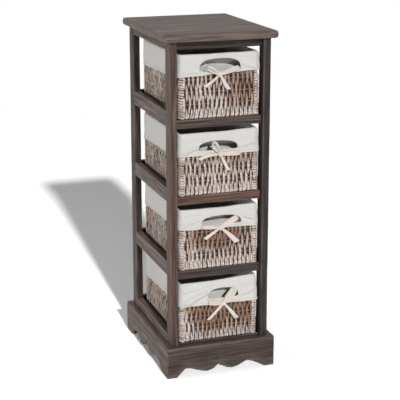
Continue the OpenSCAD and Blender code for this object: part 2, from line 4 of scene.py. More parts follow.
import bpy
import numpy as np
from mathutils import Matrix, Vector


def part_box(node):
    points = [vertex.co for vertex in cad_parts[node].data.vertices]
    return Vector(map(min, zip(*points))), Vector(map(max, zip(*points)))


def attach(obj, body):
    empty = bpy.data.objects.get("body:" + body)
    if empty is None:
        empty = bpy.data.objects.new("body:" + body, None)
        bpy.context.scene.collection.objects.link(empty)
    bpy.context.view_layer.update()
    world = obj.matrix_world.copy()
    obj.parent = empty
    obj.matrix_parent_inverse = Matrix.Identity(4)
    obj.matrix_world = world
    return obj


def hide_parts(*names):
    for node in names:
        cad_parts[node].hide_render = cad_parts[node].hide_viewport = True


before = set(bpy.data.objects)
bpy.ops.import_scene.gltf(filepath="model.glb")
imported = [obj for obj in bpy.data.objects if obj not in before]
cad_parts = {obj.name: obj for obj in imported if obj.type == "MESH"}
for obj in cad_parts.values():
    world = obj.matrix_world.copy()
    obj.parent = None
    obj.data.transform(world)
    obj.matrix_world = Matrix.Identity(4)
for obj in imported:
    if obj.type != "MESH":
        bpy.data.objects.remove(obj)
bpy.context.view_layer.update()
mm = 0.001
levels = 4
upwards = np.array([0, 0, 1.0])
frontwards = np.array([0, -1.0, 0])


# small tools
def smooth(a, b, x):
    # 0 below a, 1 above b, with a soft step between
    t = np.clip((x - a) / (b - a), 0, 1)
    return t * t * (3 - 2 * t)


def softNoise(a, b, seed):
    # random values on a 64 x 64 lattice, blended between its points, from -1 to 1
    table = np.random.default_rng(seed).uniform(-1, 1, (64, 64))
    a, b = np.broadcast_arrays(np.asarray(a, float), np.asarray(b, float))
    ia, ib = np.floor(a).astype(int), np.floor(b).astype(int)
    fa, fb = a - ia, b - ib
    fa, fb = fa * fa * (3 - 2 * fa), fb * fb * (3 - 2 * fb)
    v = [[table[(ia + p) % 64, (ib + q) % 64] for q in (0, 1)] for p in (0, 1)]
    return ((v[0][0] * (1 - fb) + v[0][1] * fb) * (1 - fa)
            + (v[1][0] * (1 - fb) + v[1][1] * fb) * fa)


def ringPlace(share, reach):
    # where noise is read for a share of the way round a ring, so that it has no seam
    turn = 2 * math.pi * share
    return np.cos(turn) * reach + 20, np.sin(turn) * reach + 20


def pack(*parts):
    # coordinates side by side as points
    return np.stack(np.broadcast_arrays(*parts), -1)


def raised(flat, z):
    # points of a plane, with a height each
    return pack(flat[..., 0], flat[..., 1], z)


def unit(v):
    return v / np.maximum(np.linalg.norm(v, axis=-1, keepdims=True), 1e-12)


def square(v, slope):
    # v made square to the slope, with length 1
    return unit(v - slope * np.sum(v * slope, -1, keepdims=True))


def walk(points):
    # the way walked along a line of points
    return np.concatenate([[0], np.cumsum(np.linalg.norm(np.diff(points, axis=0), axis=1))])


def gridFaces(rows, cols):
    # quads between neighbouring rows of points; each row is a ring
    r, c = np.arange(rows - 1)[:, None], np.arange(cols)[None, :]
    n = (c + 1) % cols
    return pack(r * cols + c, r * cols + n, (r + 1) * cols + n, (r + 1) * cols + c).reshape(-1, 4)


def quadUv(u1, u2, v1, v2):
    # (u, v) at the four corners of each quad, in the order of gridFaces
    corners = [pack(u1, v1), pack(u2, v1), pack(u2, v2), pack(u1, v2)]
    return np.stack(corners, -2).reshape(-1, 4, 2)


def linked(name, data):
    obj = bpy.data.objects.new(name, data)
    bpy.context.scene.collection.objects.link(obj)
    return obj


def makeObject(name, verts, faces, material, uv=None, attributes=None, soft=True):
    # faces is a list of arrays or lists; uv has one pair for each face corner; an attribute has
    # one value for each point, or one for all
    mesh = bpy.data.meshes.new(name)
    plain = [f for part in faces for f in (part.tolist() if hasattr(part, "tolist") else part)]
    mesh.from_pydata(np.asarray(verts, float).reshape(-1, 3).tolist(), [], plain)
    if uv is not None:
        mesh.uv_layers.new(name="UVMap").data.foreach_set("uv", np.asarray(uv, np.float32).ravel())
    for key, values in (attributes or {}).items():
        field = mesh.attributes.new(key, "FLOAT", "POINT")
        values = np.broadcast_to(np.ravel(values), len(mesh.vertices))
        field.data.foreach_set("value", np.array(values, np.float32))
    mesh.polygons.foreach_set("use_smooth", np.full(len(plain), soft))
    mesh.materials.append(material)
    mesh.validate()
    return linked(name, mesh)


def settle(obj, node, body):
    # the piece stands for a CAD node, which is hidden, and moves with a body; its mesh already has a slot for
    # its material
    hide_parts(node)
    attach(obj, body)


# materials
def newMaterial(name, constants):
    # the constants are set on the shader itself
    mat = bpy.data.materials.new(name)
    mat.use_nodes = True
    shader = mat.node_tree.nodes["Principled BSDF"]
    for key, value in constants.items():
        shader.inputs[key].default_value = value
    return mat, mat.node_tree, shader


def put(tree, kind, inputs=None, **settings):
    # adds a node; inputs are values, or sockets to link from
    node = tree.nodes.new("ShaderNode" + kind)
    for key, value in settings.items():
        setattr(node, key, value)
    for key, value in (inputs or {}).items():
        if isinstance(value, bpy.types.NodeSocket):
            tree.links.new(value, node.inputs[key])
        else:
            node.inputs[key].default_value = value
    return node


def treeOf(*values):
    # the node tree that the sockets among the values belong to
    return next(v.id_data for v in values if isinstance(v, bpy.types.NodeSocket))


def colour(r, g, b):
    # an sRGB colour of 0..255 as linear light
    c = np.array([r, g, b]) / 255
    c = np.where(c <= 0.04045, c / 12.92, ((c + 0.055) / 1.055) ** 2.4)
    return (float(c[0]), float(c[1]), float(c[2]), 1.0)


def grey(value):
    return (value, value, value, 1.0)


def ramp(factor, stops):
    node = put(treeOf(factor), "ValToRGB", {"Fac": factor})
    while len(node.color_ramp.elements) < len(stops):
        node.color_ramp.elements.new(0.5)
    for element, (place, value) in zip(node.color_ramp.elements, stops):
        element.position = place
        element.color = value
    return node.outputs["Color"]


def blend(factor, a, b, mode="MIX"):
    sockets = {0: factor, 6: a, 7: b}
    return put(treeOf(factor, a, b), "Mix", sockets, data_type="RGBA", blend_type=mode).outputs[2]


def calc(operation, a, b=0.0, clamp=False):
    return put(treeOf(a, b), "Math", {0: a, 1: b}, operation=operation, use_clamp=clamp).outputs[0]


def times(a, b, clamp=False):
    return calc("MULTIPLY", a, b, clamp)


def add(a, b, clamp=False):
    return calc("ADD", a, b, clamp)


def swing(value, amount):
    # a value about 0.5 becomes one about 0
    return times(calc("SUBTRACT", value, 0.5), amount)


def spread(value, low, high, outLow=0.0, outHigh=1.0):
    return put(treeOf(value), "MapRange", {"Value": value, "From Min": low, "From Max": high,
                                           "To Min": outLow, "To Max": outHigh}).outputs["Result"]


def noise(place, scale, detail, roughness=0.5, distortion=0.0):
    return put(treeOf(place), "TexNoise", {"Vector": place, "Scale": scale, "Detail": detail,
                                           "Roughness": roughness, "Distortion": distortion}).outputs["Fac"]


def scaled(place, scale):
    return put(treeOf(place), "Mapping", {"Vector": place, "Scale": scale}).outputs[0]


def read(tree, name):
    return put(tree, "Attribute", attribute_name=name).outputs["Fac"]


def objectPlace(tree):
    return put(tree, "TexCoord").outputs["Object"]


def readUv(tree):
    # the UV, and its two parts
    uv = put(tree, "UVMap", uv_map="UVMap").outputs[0]
    parts = put(tree, "SeparateXYZ", {"Vector": uv})
    return uv, parts.outputs["X"], parts.outputs["Y"]


def paint(shader, base, height=None, strength=0.0, distance=0.0):
    # links the base colour, and a bump from a height
    tree = treeOf(base)
    tree.links.new(base, shader.inputs["Base Color"])
    if height:
        bump = put(tree, "Bump", {"Height": height, "Strength": strength, "Distance": distance})
        tree.links.new(bump.outputs["Normal"], shader.inputs["Normal"])


def surface(tree, shader, output="Material Output"):
    tree.links.new(shader.outputs[0], tree.nodes[output].inputs["Surface"])


wood = {
    "dark": colour(31, 26, 24), "middle": colour(74, 64, 60), "brown": colour(108, 78, 66),
    "pale": colour(122, 111, 105), "worn": colour(158, 145, 137),
    "alongGrain": 0.055,     # how much slower the pattern runs along the grain
    "rub": 0.36,             # how much of the worn colour shows at the edges
    "plywood": 1.05,         # plywood's lighter shade
    "bump": (0.5, 0.0006),
}


def woodMaterial(name, grain, plain=False):
    # stained softwood: broad colour bands, fine streaks and pores drawn out along the grain; a
    # solid board has its own depth of stain, which on a few boards also holds painted light and
    # shade, and is paler where the wear attribute is high
    mat, tree, shader = newMaterial(name, {"Specular IOR Level": 0.24})
    coords = objectPlace(tree)
    slow = [wood["alongGrain"] if axis == grain else 1.0 for axis in "xyz"]
    slower = [wood["alongGrain"] * 0.45 if axis == grain else 1.0 for axis in "xyz"]
    along, finer = scaled(coords, slow), scaled(coords, slower)
    streaks, pores = noise(finer, 420.0, 4.0, 0.65), noise(finer, 1500.0, 2.0, 0.6)
    dark, middle = wood["dark"], wood["middle"]
    bands = noise(along, 70.0, 6.0, 0.66, 0.9)
    base = ramp(bands, [(0.34, dark), (0.45, middle), (0.57, middle), (0.7, wood["pale"])])
    hue = spread(noise(along, 34.0, 3.0, 0.5, 0.4), 0.4, 0.62, 0.15, 1.0)
    base = blend(times(read(tree, "warm"), hue, clamp=True), base, wood["brown"])
    base = blend(spread(streaks, 0.3, 0.7), base, (1.25, 1.22, 1.2, 1), "MULTIPLY")
    base = blend(spread(streaks, 0.36, 0.6, 0.85, 0.0), base, dark)
    base = blend(spread(pores, 0.3, 0.42, 0.6, 0.0), base, dark)
    if plain:
        base = blend(1.0, base, grey(wood["plywood"]), "MULTIPLY")
    else:
        # tone: the board's depth of stain, which on a few boards also holds painted light and shade
        depth = read(tree, "tone")
        depth = put(tree, "CombineXYZ", {"X": depth, "Y": depth, "Z": depth}).outputs[0]
        base = blend(1.0, base, depth, "MULTIPLY")
        patches = spread(noise(along, 130.0, 4.0, 0.7), 0.36, 0.62, 0.1, 1.0)
        rub = times(read(tree, "wear"), patches, clamp=True)
        base = blend(times(rub, wood["rub"]), base, wood["worn"])
    paint(shader, base, add(times(streaks, 0.6), times(pores, 0.5)), *wood["bump"])
    tree.links.new(spread(streaks, 0.3, 0.7, 0.68, 0.5), shader.inputs["Roughness"])
    return mat


def speckled(name, scale, detail, stops, constants):
    # two colours, blended by a fine noise
    mat, tree, shader = newMaterial(name, constants)
    paint(shader, ramp(noise(objectPlace(tree), scale, detail), stops))
    return mat


strand = {
    "pale": colour(226, 218, 212), "middle": colour(192, 176, 166), "brown": colour(146, 116, 97),
    "bare": colour(88, 68, 56),      # unwashed husk at the sides and back of a strand
    # deep: near-black painted shade where the wash attribute is low, behind wires and between strands
    "deep": colour(30, 23, 19),
    "twists": 105.0,                 # turns of the twist in a metre
    "bump": (0.6, 0.0008),
}


def strandMaterial():
    # twisted rush with a thin white wash: the strand's own UV gives slanting fibres and the
    # grooves of the twist; the wash attribute says where the paint reached, and where it is low
    # the colour turns near-black as painted shade; "stain" says where husk shows brown
    mat, tree, shader = newMaterial("washedRush", {"Roughness": 0.8, "Specular IOR Level": 0.14})
    wash, stain, tone = (read(tree, key) for key in ("wash", "stain", "tone"))
    _, around, length = readUv(tree)
    twist = add(times(length, strand["twists"]), around)
    groove = calc("ABSOLUTE", calc("SUBTRACT", calc("FRACT", twist), 0.5))
    fibreAt = {"X": times(twist, 9.0), "Y": times(length, 90.0), "Z": times(tone, 40.0)}
    fibre = noise(put(tree, "CombineXYZ", fibreAt).outputs[0], 1.0, 3.0, 0.6)
    patches = noise(objectPlace(tree), 120.0, 3.0, 0.6)
    brown = add(add(stain, swing(patches, 0.9)), swing(tone, 0.3), clamp=True)
    base = ramp(brown, [(0.1, strand["pale"]), (0.45, strand["middle"]), (0.95, strand["brown"])])
    base = blend(spread(fibre, 0.36, 0.58, 0.55, 0.0), base, strand["brown"])
    base = blend(add(wash, swing(fibre, 0.7), clamp=True), strand["bare"], base)
    # painted shade: where little wash reached, the colour turns near-black
    base = blend(spread(wash, 0.0, 0.35, 0.7, 0.0), base, strand["deep"])
    base = blend(spread(groove, 0.0, 0.14, 0.45, 0.0), base, strand["bare"])
    paint(shader, base, add(times(groove, 1.2), times(fibre, 0.5)), *strand["bump"])
    return mat


cloth = {
    "stitchAt": 5.4 * mm,            # from the hem
    "stitchHalf": (0.3 * mm, 0.9 * mm),
    "stitchPitch": 2.8 * mm,
    "stitchColour": colour(150, 143, 134), "stitchShare": 0.32,
    "through": 0.22,                 # share of the light that comes through the cloth
    "bump": (0.3, 0.0003),
}


def clothMaterial(name, base, other, threads, sheen):
    # plain weave: fine crossing threads from the piece's own UV in metres, with faint slubs, and
    # a line of stitches at one distance from the edge, which the hem attribute holds
    constants = {"Roughness": 0.9, "Specular IOR Level": 0.2, "Sheen Weight": sheen}
    mat, tree, shader = newMaterial(name, constants)
    uv, x, y = readUv(tree)
    weave = times(*(calc("SINE", times(part, threads * 2 * math.pi)) for part in (x, y)))
    slub = noise(scaled(uv, (1.0, 0.12, 1.0)), 900.0, 3.0)
    tone = blend(spread(slub, 0.35, 0.65), base, other)
    cloudy = spread(noise(objectPlace(tree), 24.0, 3.0), 0.4, 0.75, 0.0, 0.6)
    tone = blend(cloudy, tone, other)
    away = calc("ABSOLUTE", calc("SUBTRACT", read(tree, "hem"), cloth["stitchAt"]))
    dash = spread(calc("SINE", times(x, 2 * math.pi / cloth["stitchPitch"])), -0.6, 0.0)
    stitch = times(spread(away, *cloth["stitchHalf"], 1.0, 0.0), dash, clamp=True)
    tone = blend(times(stitch, cloth["stitchShare"]), tone, cloth["stitchColour"])
    height = calc("SUBTRACT", add(times(weave, 0.5), times(slub, 0.5)), times(stitch, 3.0))
    paint(shader, tone, height, *cloth["bump"])
    through = put(tree, "BsdfTranslucent", {"Color": tone})
    sockets = {0: cloth["through"], 1: shader.outputs[0], 2: through.outputs[0]}
    surface(tree, put(tree, "MixShader", sockets))
    return mat


woodX = woodMaterial("woodAcross", "x")
woodY = woodMaterial("woodDeep", "y")
woodZ = woodMaterial("woodUpright", "z")
# the top board's own copy of the wood; its lighter shade, painted light from above, comes from its entry in
# board
woodTop = woodMaterial("woodTop", "x")
plywood = woodMaterial("plywood", "x", plain=True)
beech = speckled("dowelBeech", 500.0, 3.0, [(0.3, colour(196, 160, 116)), (0.7, colour(222, 190, 146))],
                 {"Roughness": 0.6})
wire = speckled("wire", 260.0, 4.0, [(0.35, colour(84, 76, 70)), (0.7, colour(128, 124, 120))],
                {"Metallic": 0.85, "Roughness": 0.45})
rush = strandMaterial()
cotton = clothMaterial("cotton", colour(229, 227, 224), colour(222, 220, 216), 1500.0, 0.1)
tape = clothMaterial("ribbonTape", colour(240, 232, 225), colour(228, 219, 210), 1900.0, 0.15)
print("materials ready")

# stage and camera
camera = {
    "place": (-0.84612, -2.45637, 1.07947),
    "azimuth": 19.12, "down": 15.68,
    "lens": 108.27, "sensor": 36.0, "farthest": 50.0,
}


def makeCamera():
    data = bpy.data.cameras.new("camera")
    data.lens = camera["lens"]
    data.sensor_width = camera["sensor"]
    data.clip_end = camera["farthest"]
    obj = linked("camera", data)
    obj.location = camera["place"]
    obj.rotation_euler = (math.radians(90 - camera["down"]), 0, math.radians(-camera["azimuth"]))
    bpy.context.scene.camera = obj


light = {
    # a direction to come from, strength, apparent size in degrees; the first draws the long shadow
    "suns": {"sun": ((-0.09, -1.408, 0.745), 2.5, 2.2), "fromBehind": ((1.2, 0.9, 0.2), 0.6, 20.0)},
    # place, power in watts, size; they look at the cabinet's middle
    "lamps": {"lowInFront": ((-0.9, -2.8, 0.22), 13.0, 0.4), "left": ((-3.0, 0.2, 0.32), 50.0, 1.2),
              "right": ((3.0, 0.3, 0.4), 13.0, 1.5)},
    "middle": (0, 0, 0.36),
    "world": 0.09,
    "floor": 0.9,            # the floor's own colour
    "floorAgain": 0.97,      # how strongly it answers the light again where it is seen directly
    "floorGlow": 0.03,       # whiteness that the floor has of its own near the cabinet
    "floorFade": (2.1, 2.9), # between these distances it turns into plain white
    "floorHalf": 12.0,
}


def placeLight(name, kind, place, energy, away):
    data = bpy.data.lights.new(name, kind)
    data.energy = energy
    obj = linked(name, data)
    obj.location = place
    obj.rotation_euler = (math.atan2(math.hypot(away[0], away[1]), away[2]), 0, math.atan2(away[0], -away[1]))
    return data


def makeLights():
    for name, (place, strength, angle) in light["suns"].items():
        placeLight(name, "SUN", place, strength, place).angle = math.radians(angle)
    for name, (place, power, size) in light["lamps"].items():
        placeLight(name, "AREA", place, power, np.array(place) - light["middle"]).size = size
    world = bpy.data.worlds.new("studio")
    bpy.context.scene.world = world
    world.use_nodes = True
    tree = world.node_tree
    plain = tree.nodes["Background"]
    plain.inputs["Color"].default_value = grey(1.0)
    plain.inputs["Strength"].default_value = light["world"]
    white = put(tree, "Background", {"Color": grey(1.0), "Strength": 1.0})
    both = put(tree, "MixShader", {0: seenDirectly(tree), 1: plain.outputs[0], 2: white.outputs[0]})
    surface(tree, both, "World Output")


def seenDirectly(tree):
    # 1 for what the camera sees itself, in gloss or through glass
    ray = put(tree, "LightPath")
    seen = calc("MAXIMUM", ray.outputs["Is Camera Ray"], ray.outputs["Is Glossy Ray"])
    return calc("MAXIMUM", seen, ray.outputs["Is Transmission Ray"])


def makeFloor():
    # a wide plain floor: seen directly it answers the light a second time and glows a little,
    # so that it is white and keeps its shadows, and further off it is plain white
    constants = {"Base Color": grey(light["floor"]), "Roughness": 1.0, "Specular IOR Level": 0.0}
    mat, tree, shader = newMaterial("paleFloor", constants)
    seen = seenDirectly(tree)
    away = put(tree, "VectorMath", {0: objectPlace(tree)}, operation="LENGTH").outputs["Value"]
    again = put(tree, "BsdfDiffuse", {"Color": grey(light["floorAgain"])})
    own = put(tree, "Emission", {"Color": grey(1.0), "Strength": light["floorGlow"]})
    white = put(tree, "Emission", {"Color": grey(1.0), "Strength": 1.0})
    extra = put(tree, "AddShader", {0: again.outputs[0], 1: own.outputs[0]})
    bright = put(tree, "AddShader", {0: shader.outputs[0], 1: extra.outputs[0]})
    lit = put(tree, "MixShader", {0: seen, 1: shader.outputs[0], 2: bright.outputs[0]})
    far = times(seen, spread(away, *light["floorFade"]))
    surface(tree, put(tree, "MixShader", {0: far, 1: lit.outputs[0], 2: white.outputs[0]}))
    r = light["floorHalf"]
    corners = [(-r, -r, 0), (r, -r, 0), (r, r, 0), (-r, r, 0)]
    makeObject("floor", corners, [[(0, 1, 2, 3)]], mat, soft=False)


makeCamera()
makeLights()
makeFloor()
bpy.context.scene.view_settings.view_transform = "Standard"
print("camera, lights and floor ready")

# wooden frame
board = {
    "postEdge": 3.0 * mm, "railEdge": 1.8 * mm,
    "arcSteps": 5,
    "wobble": 0.25 * mm,     # unevenness of sanded faces and edges
    "station": 9.0 * mm,     # spacing of the rings along a bar
    "ends": (1.2 * mm, 4.0 * mm),    # closer rings at a bar's ends
    "wearReach": 2.6 * mm,   # how far the rub-through fades from an edge
    # depth of stain (1 as written, less is darker) and share of reddish brown, board by board.
    # The front right post is darker partly by its own stain and partly as painted shade, where
    # the light falls off to the right; the top board is lighter as painted light from above, and
    # the left side rails and the left plinth board are lighter partly by their own tone and partly
    # as painted light on faces turned to the left
    "stain": {
        "post_front_left": (0.78, 0.75), "post_front_right": (0.42, 0.2), "post_back_left": (0.62, 0.25),
        "front_apron": (0.5, 0.4), "front_rail_1": (0.88, 0.7), "front_rail_2": (0.92, 0.9),
        "front_rail_3": (0.6, 0.25), "front_rail_4": (0.6, 0.5), "side_rail_left": (1.6, 0.15),
        "side_apron_left": (0.9, 0.2), "plinth_front": (0.8, 0.7), "plinth_left": (1.25, 0.3),
        "top_board": (1.72, 0.15)},
    "usual": (0.8, 0.45),
}


def woodPiece(node, verts, wear, material, crisp, flip=False):
    # rows of points become a closed board with its own stain, which on a few boards also holds
    # painted light and shade; edges sharper than the angle crisp stay crisp, the rest is shaded smooth
    rows, cols = verts.shape[:2]
    faces = gridFaces(rows, cols)
    caps = np.array([np.arange(cols)[::-1], (rows - 1) * cols + np.arange(cols)])
    if flip:
        faces, caps = faces[:, ::-1], caps[:, ::-1]
    key = node if node in board["stain"] else node.rstrip("_1234")
    tone, warm = board["stain"].get(key, board["usual"])
    attributes = {"wear": np.clip(wear, 0, 1), "tone": tone, "warm": warm}
    obj = makeObject("wood_" + node, verts, [faces, caps], material, attributes=attributes)
    bpy.context.view_layer.objects.active = obj
    obj.select_set(True)
    bpy.ops.object.shade_smooth_by_angle(angle=math.radians(crisp))
    obj.select_set(False)
    settle(obj, node, "cabinet")


def roundedSection(w, h, r):
    # rectangle w by h with quarter-round corners, anticlockwise, with points beside each
    # corner that let the wear fade; returns points and the wear of each
    points, wear = [], []
    steps, fade = board["arcSteps"], board["wearReach"]
    for cx, cy, a0 in ((1, 1, 0), (-1, 1, 90), (-1, -1, 180), (1, -1, 270)):
        a = np.radians(a0 + 90 * np.arange(steps + 1) / steps)
        arc = np.array([cx * (w / 2 - r), cy * (h / 2 - r)]) + r * pack(np.cos(a), np.sin(a))
        travel = fade * pack(-np.sin(a), np.cos(a))
        points += [arc[0] - travel[0], *arc, arc[-1] + travel[-1]]
        wear += [0.0, 0.5, *([1.0] * (steps - 1)), 0.5, 0.0]
    return np.array(points), np.array(wear)


def bar(node, axis, seed):
    # the section is carried along the axis between the CAD node's ends
    lo, hi = (np.array(v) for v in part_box(node))
    size, mid = hi - lo, (hi + lo) / 2
    a = "xyz".index(axis)
    b, c = (a + 1) % 3, (a + 2) % 3
    section, wear = roundedSection(size[b], size[c], board["postEdge" if axis == "z" else "railEdge"])
    first, second = (v / size[a] for v in board["ends"])
    count = max(4, int(size[a] / board["station"]))
    share = np.concatenate([[0, first], np.linspace(second, 1 - second, count), [1 - first, 1]])
    along, turn = share[:, None] * size[a], np.arctan2(section[:, 1], section[:, 0])
    uneven = softNoise(along / 0.03, turn * 1.4, seed)
    uneven += 0.6 * softNoise(along / 0.011, turn * 2.5, seed + 1) * (wear > 0.4)
    push = -board["wobble"] * (uneven * 0.5 + 0.5) * (0.35 + 0.65 * wear)
    section = section + push[..., None] * unit(section)
    verts = np.zeros(section.shape[:2] + (3,))
    verts[..., a] = lo[a] + along
    verts[..., b] = mid[b] + section[..., 0]
    verts[..., c] = mid[c] + section[..., 1]
    rub = wear * (0.55 + 0.45 * softNoise(along / 0.045, turn, seed + 2))
    woodPiece(node, verts, rub, {"x": woodX, "y": woodY, "z": woodZ}[axis], 50)


bars = [("post_front_left", "z", 10), ("post_front_right", "z", 11), ("post_back_left", "z", 12),
        ("post_back_right", "z", 13), ("front_apron", "x", 20), ("back_apron", "x", 21),
        ("side_apron_left", "y", 22), ("side_apron_right", "y", 23)]
for k in range(1, levels + 1):
    bars += [(f"front_rail_{k}", "x", 30 + k), (f"back_rail_{k}", "x", 40 + k),
             (f"side_rail_left_{k}", "y", 50 + k), (f"side_rail_right_{k}", "y", 60 + k)]
    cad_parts[f"shelf_{k}"].data.materials[0] = plywood
for node, axis, seed in bars:
    bar(node, axis, seed)
for node in ("top_dowels", "rail_dowels"):
    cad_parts[node].data.materials[0] = beech

topBoard = {
    "corner": 8.0 * mm, "edge": 6.0 * mm, "leastCorner": 3.0 * mm,
    "insets": (8.5, 12, 20, 35, 55, 80, 105),      # rings on the two broad faces, in mm
    "points": 240,
    # rub-through of each ring: upper face, upper half of the edge, lower half, underside
    "wear": (0, 0, 0, 0, 0, 0, 0.25, 0.6, 0.9, 1, 1, 1, 0.9, 0.75, 0.6,
             0.6, 0.7, 0.8, 0.8, 0.7, 0.5, 0.3, 0.1, 0, 0, 0, 0, 0, 0, 0),
    "dent": 0.15 * mm,
}


def ringAt(s, w, d, r):
    # walks a rounded rectangle w by d from the middle of its front side towards +x.
    # s is the way walked as a share of the whole. Returns points, outward normals, length.
    sx, sy, arc = w - 2 * r, d - 2 * r, math.pi * r / 2
    ends = np.concatenate([[0], np.cumsum([sx / 2, arc, sy, arc, sx, arc, sy, arc, sx / 2])])
    way = np.mod(np.asarray(s, float), 1) * ends[-1]
    leg = np.clip(np.searchsorted(ends, way, "right") - 1, 0, 8)
    t = way - ends[leg]
    cx, cy = w / 2 - r, d / 2 - r
    starts = np.array([[0, -d / 2], [cx, -cy], [w / 2, -cy], [cx, cy], [cx, d / 2], [-cx, cy],
                       [-w / 2, cy], [-cx, -cy], [-cx, -d / 2]])
    dirs = np.array([[1, 0], [0, 0], [0, 1], [0, 0], [-1, 0], [0, 0], [0, -1], [0, 0], [1, 0]])
    first = np.radians([-90, -90, 0, 0, 90, 90, 180, 180, -90])
    turning = leg % 2
    angle = first[leg] + turning * t / r
    normal = pack(np.cos(angle), np.sin(angle))
    point = starts[leg] + dirs[leg] * t[..., None] + turning[..., None] * r * normal
    return point, normal, ends[-1]


def makeTopBoard():
    # rings of a rounded rectangle, carried down a bull-nosed edge profile of inset and height
    lo, hi = (np.array(v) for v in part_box("top_board"))
    w, d, t = hi - lo
    e = topBoard["edge"]
    a = np.radians(np.linspace(0, 90, 8))
    flat = [i * mm for i in topBoard["insets"]]
    profile = [(i, t) for i in flat[::-1]] + [(e - e * math.sin(v), t - e + e * math.cos(v)) for v in a]
    profile += [(e - e * math.cos(v), e - e * math.sin(v)) for v in a] + [(i, 0) for i in flat]
    s = (np.arange(topBoard["points"]) + 0.5) / topBoard["points"]
    rings, rub = [], []
    for j, ((inset, z), wear) in enumerate(zip(profile, topBoard["wear"])):
        r = max(topBoard["corner"] - inset, topBoard["leastCorner"])
        p, n, _ = ringAt(s, w - 2 * inset, d - 2 * inset, r)
        dent = topBoard["dent"] * wear * (softNoise(s * 60, j * 0.7, 5) - 1)
        rings.append(raised(p + n * dent[:, None], lo[2] + z))
        rub.append(wear * (0.55 + 0.5 * softNoise(s * 36, j * 0.4, 6)))
    woodPiece("top_board", np.array(rings)[::-1], np.array(rub)[::-1], woodTop, 60)


makeTopBoard()

plinth = {
    "height": 69.0 * mm, "thick": 13.0 * mm,
    "edge": 4.0 * mm,        # rounding of the top edge and of the upright corners
    "lowEdge": 0.9 * mm,     # softened lower edge
    "archAt": 0.70, "lobeAt": 0.28,
    "arch": 22.0 * mm, "lobe": 8.0 * mm, "cusp": 28.0 * mm,
    "footRun": (0.6, 4, 9, 15, 21, 28, 36),        # rings on a foot, in mm from the arch
    # rows up the outer face: share of the height, wear
    "face": ((0.06, 0.25), (0.15, 0), (0.3, 0), (0.5, 0), (0.7, 0), (0.88, 0.1)),
    "dent": 0.125 * mm,
    # half length, distance of the outer face and length of a foot in mm, quarter turns from -y
    "boards": {"plinth_front": (125, 160, 23, 0), "plinth_back": (125, 160, 23, 2),
               "plinth_left": (160, 125, 43, -1), "plinth_right": (160, 125, 43, 1)},
}


def scallop(u):
    # lower edge over half a span, u from 0 at the middle to 1 at the foot: an up-turned
    # cusp, a rounded lobe, an arch, and the foot's curved inner side
    u = np.abs(u)
    lobeAt, archAt = plinth["lobeAt"], plinth["archAt"]
    lobe, arch, cusp = plinth["lobe"], plinth["arch"], plinth["cusp"]
    first = lobe + (cusp - lobe) * (1 - np.sin(np.clip(u / lobeAt, 0, 1) * math.pi / 2))
    t = np.clip((u - lobeAt) / (archAt - lobeAt), 0, 1)
    second = lobe + (arch - lobe) * (1 - np.cos(math.pi * t)) / 2
    last = arch * np.cos(np.clip((u - archAt) / (1 - archAt), 0, 1) * math.pi / 2)
    return np.where(u < lobeAt, first, np.where(u < archAt, second, last))


def plinthBoard(node, seed):
    # a section (outwards, up) is carried along the board; its ends are mitred, and the
    # plinth's upright corner is rounded; drawn at -y, then turned to its side
    half, outer, foot = (v * mm for v in plinth["boards"][node][:3])
    thick, r, le = plinth["thick"], plinth["edge"], plinth["lowEdge"]
    span = half - foot
    run = np.array(plinth["footRun"]) * mm
    run = run[run < foot - r - 1 * mm]
    beyond = np.concatenate([span + run, half - r + np.linspace(0, 1, 6) * r])
    x = np.concatenate([-beyond[::-1], np.linspace(-span, span, 181), beyond])
    ax = np.abs(x)
    low = np.where(ax < span, scallop(x / span), 0.0)
    a, b = np.radians(np.linspace(0, 90, 6)), np.radians(np.linspace(0, 90, 4))
    # section rows: inwards distance from the outer face, share of the height, extra height, wear
    rows = [(thick, 0, 0, 0.3), (thick * 0.5, 0, 0, 0.3)]
    rows += [(le - le * math.sin(v), 0, le - le * math.cos(v), 0.75) for v in b]
    rows += [(0, share, 0, rub) for share, rub in plinth["face"]]
    rows += [(r - r * math.cos(v), 1, -r + r * math.sin(v), 0.9) for v in a]
    rows += [(r + 2 * mm, 1, 0, 0.2), (thick, 1, 0, 0.15), (thick, 0.5, 0, 0)]
    verts = np.zeros((len(x), len(rows), 3))
    wear = np.zeros((len(x), len(rows)))
    q = np.clip((ax - (half - r)) / r, 0, 1)
    for j, (inward, share, extra, rub) in enumerate(rows):
        z = low + (plinth["height"] - low) * share + extra
        px = np.where(ax > span, span + (ax - span) * (half - inward - span) / (half - span), ax)
        py = outer - inward
        if inward < r:
            px = np.where(q > 0, half - r + (r - inward) * np.sin(q * math.pi / 4), ax)
            py = np.where(q > 0, outer - r + (r - inward) * np.cos(q * math.pi / 4), py)
        dent = plinth["dent"] * (softNoise(x / 0.02, j * 0.6, seed) - 1) * (0.3 + rub)
        verts[:, j] = pack(np.sign(x) * px, -(py + dent), z)
        edges = np.maximum(smooth(0, 1, q) * 0.8, 0.5 * smooth(0.02, 0.0, z - low))
        wear[:, j] = np.maximum(rub, edges) * (0.6 + 0.45 * softNoise(x / 0.03, j * 0.5, seed + 1))
    turn = plinth["boards"][node][3] * math.pi / 2
    c, s = math.cos(turn), math.sin(turn)
    verts = verts @ np.array([[c, s, 0], [-s, c, 0], [0, 0, 1]])
    woodPiece(node, verts, wear, woodX if half < outer else woodY, 40, flip=True)


for i, node in enumerate(plinth["boards"]):
    plinthBoard(node, 70 + i)
print("wooden frame ready")

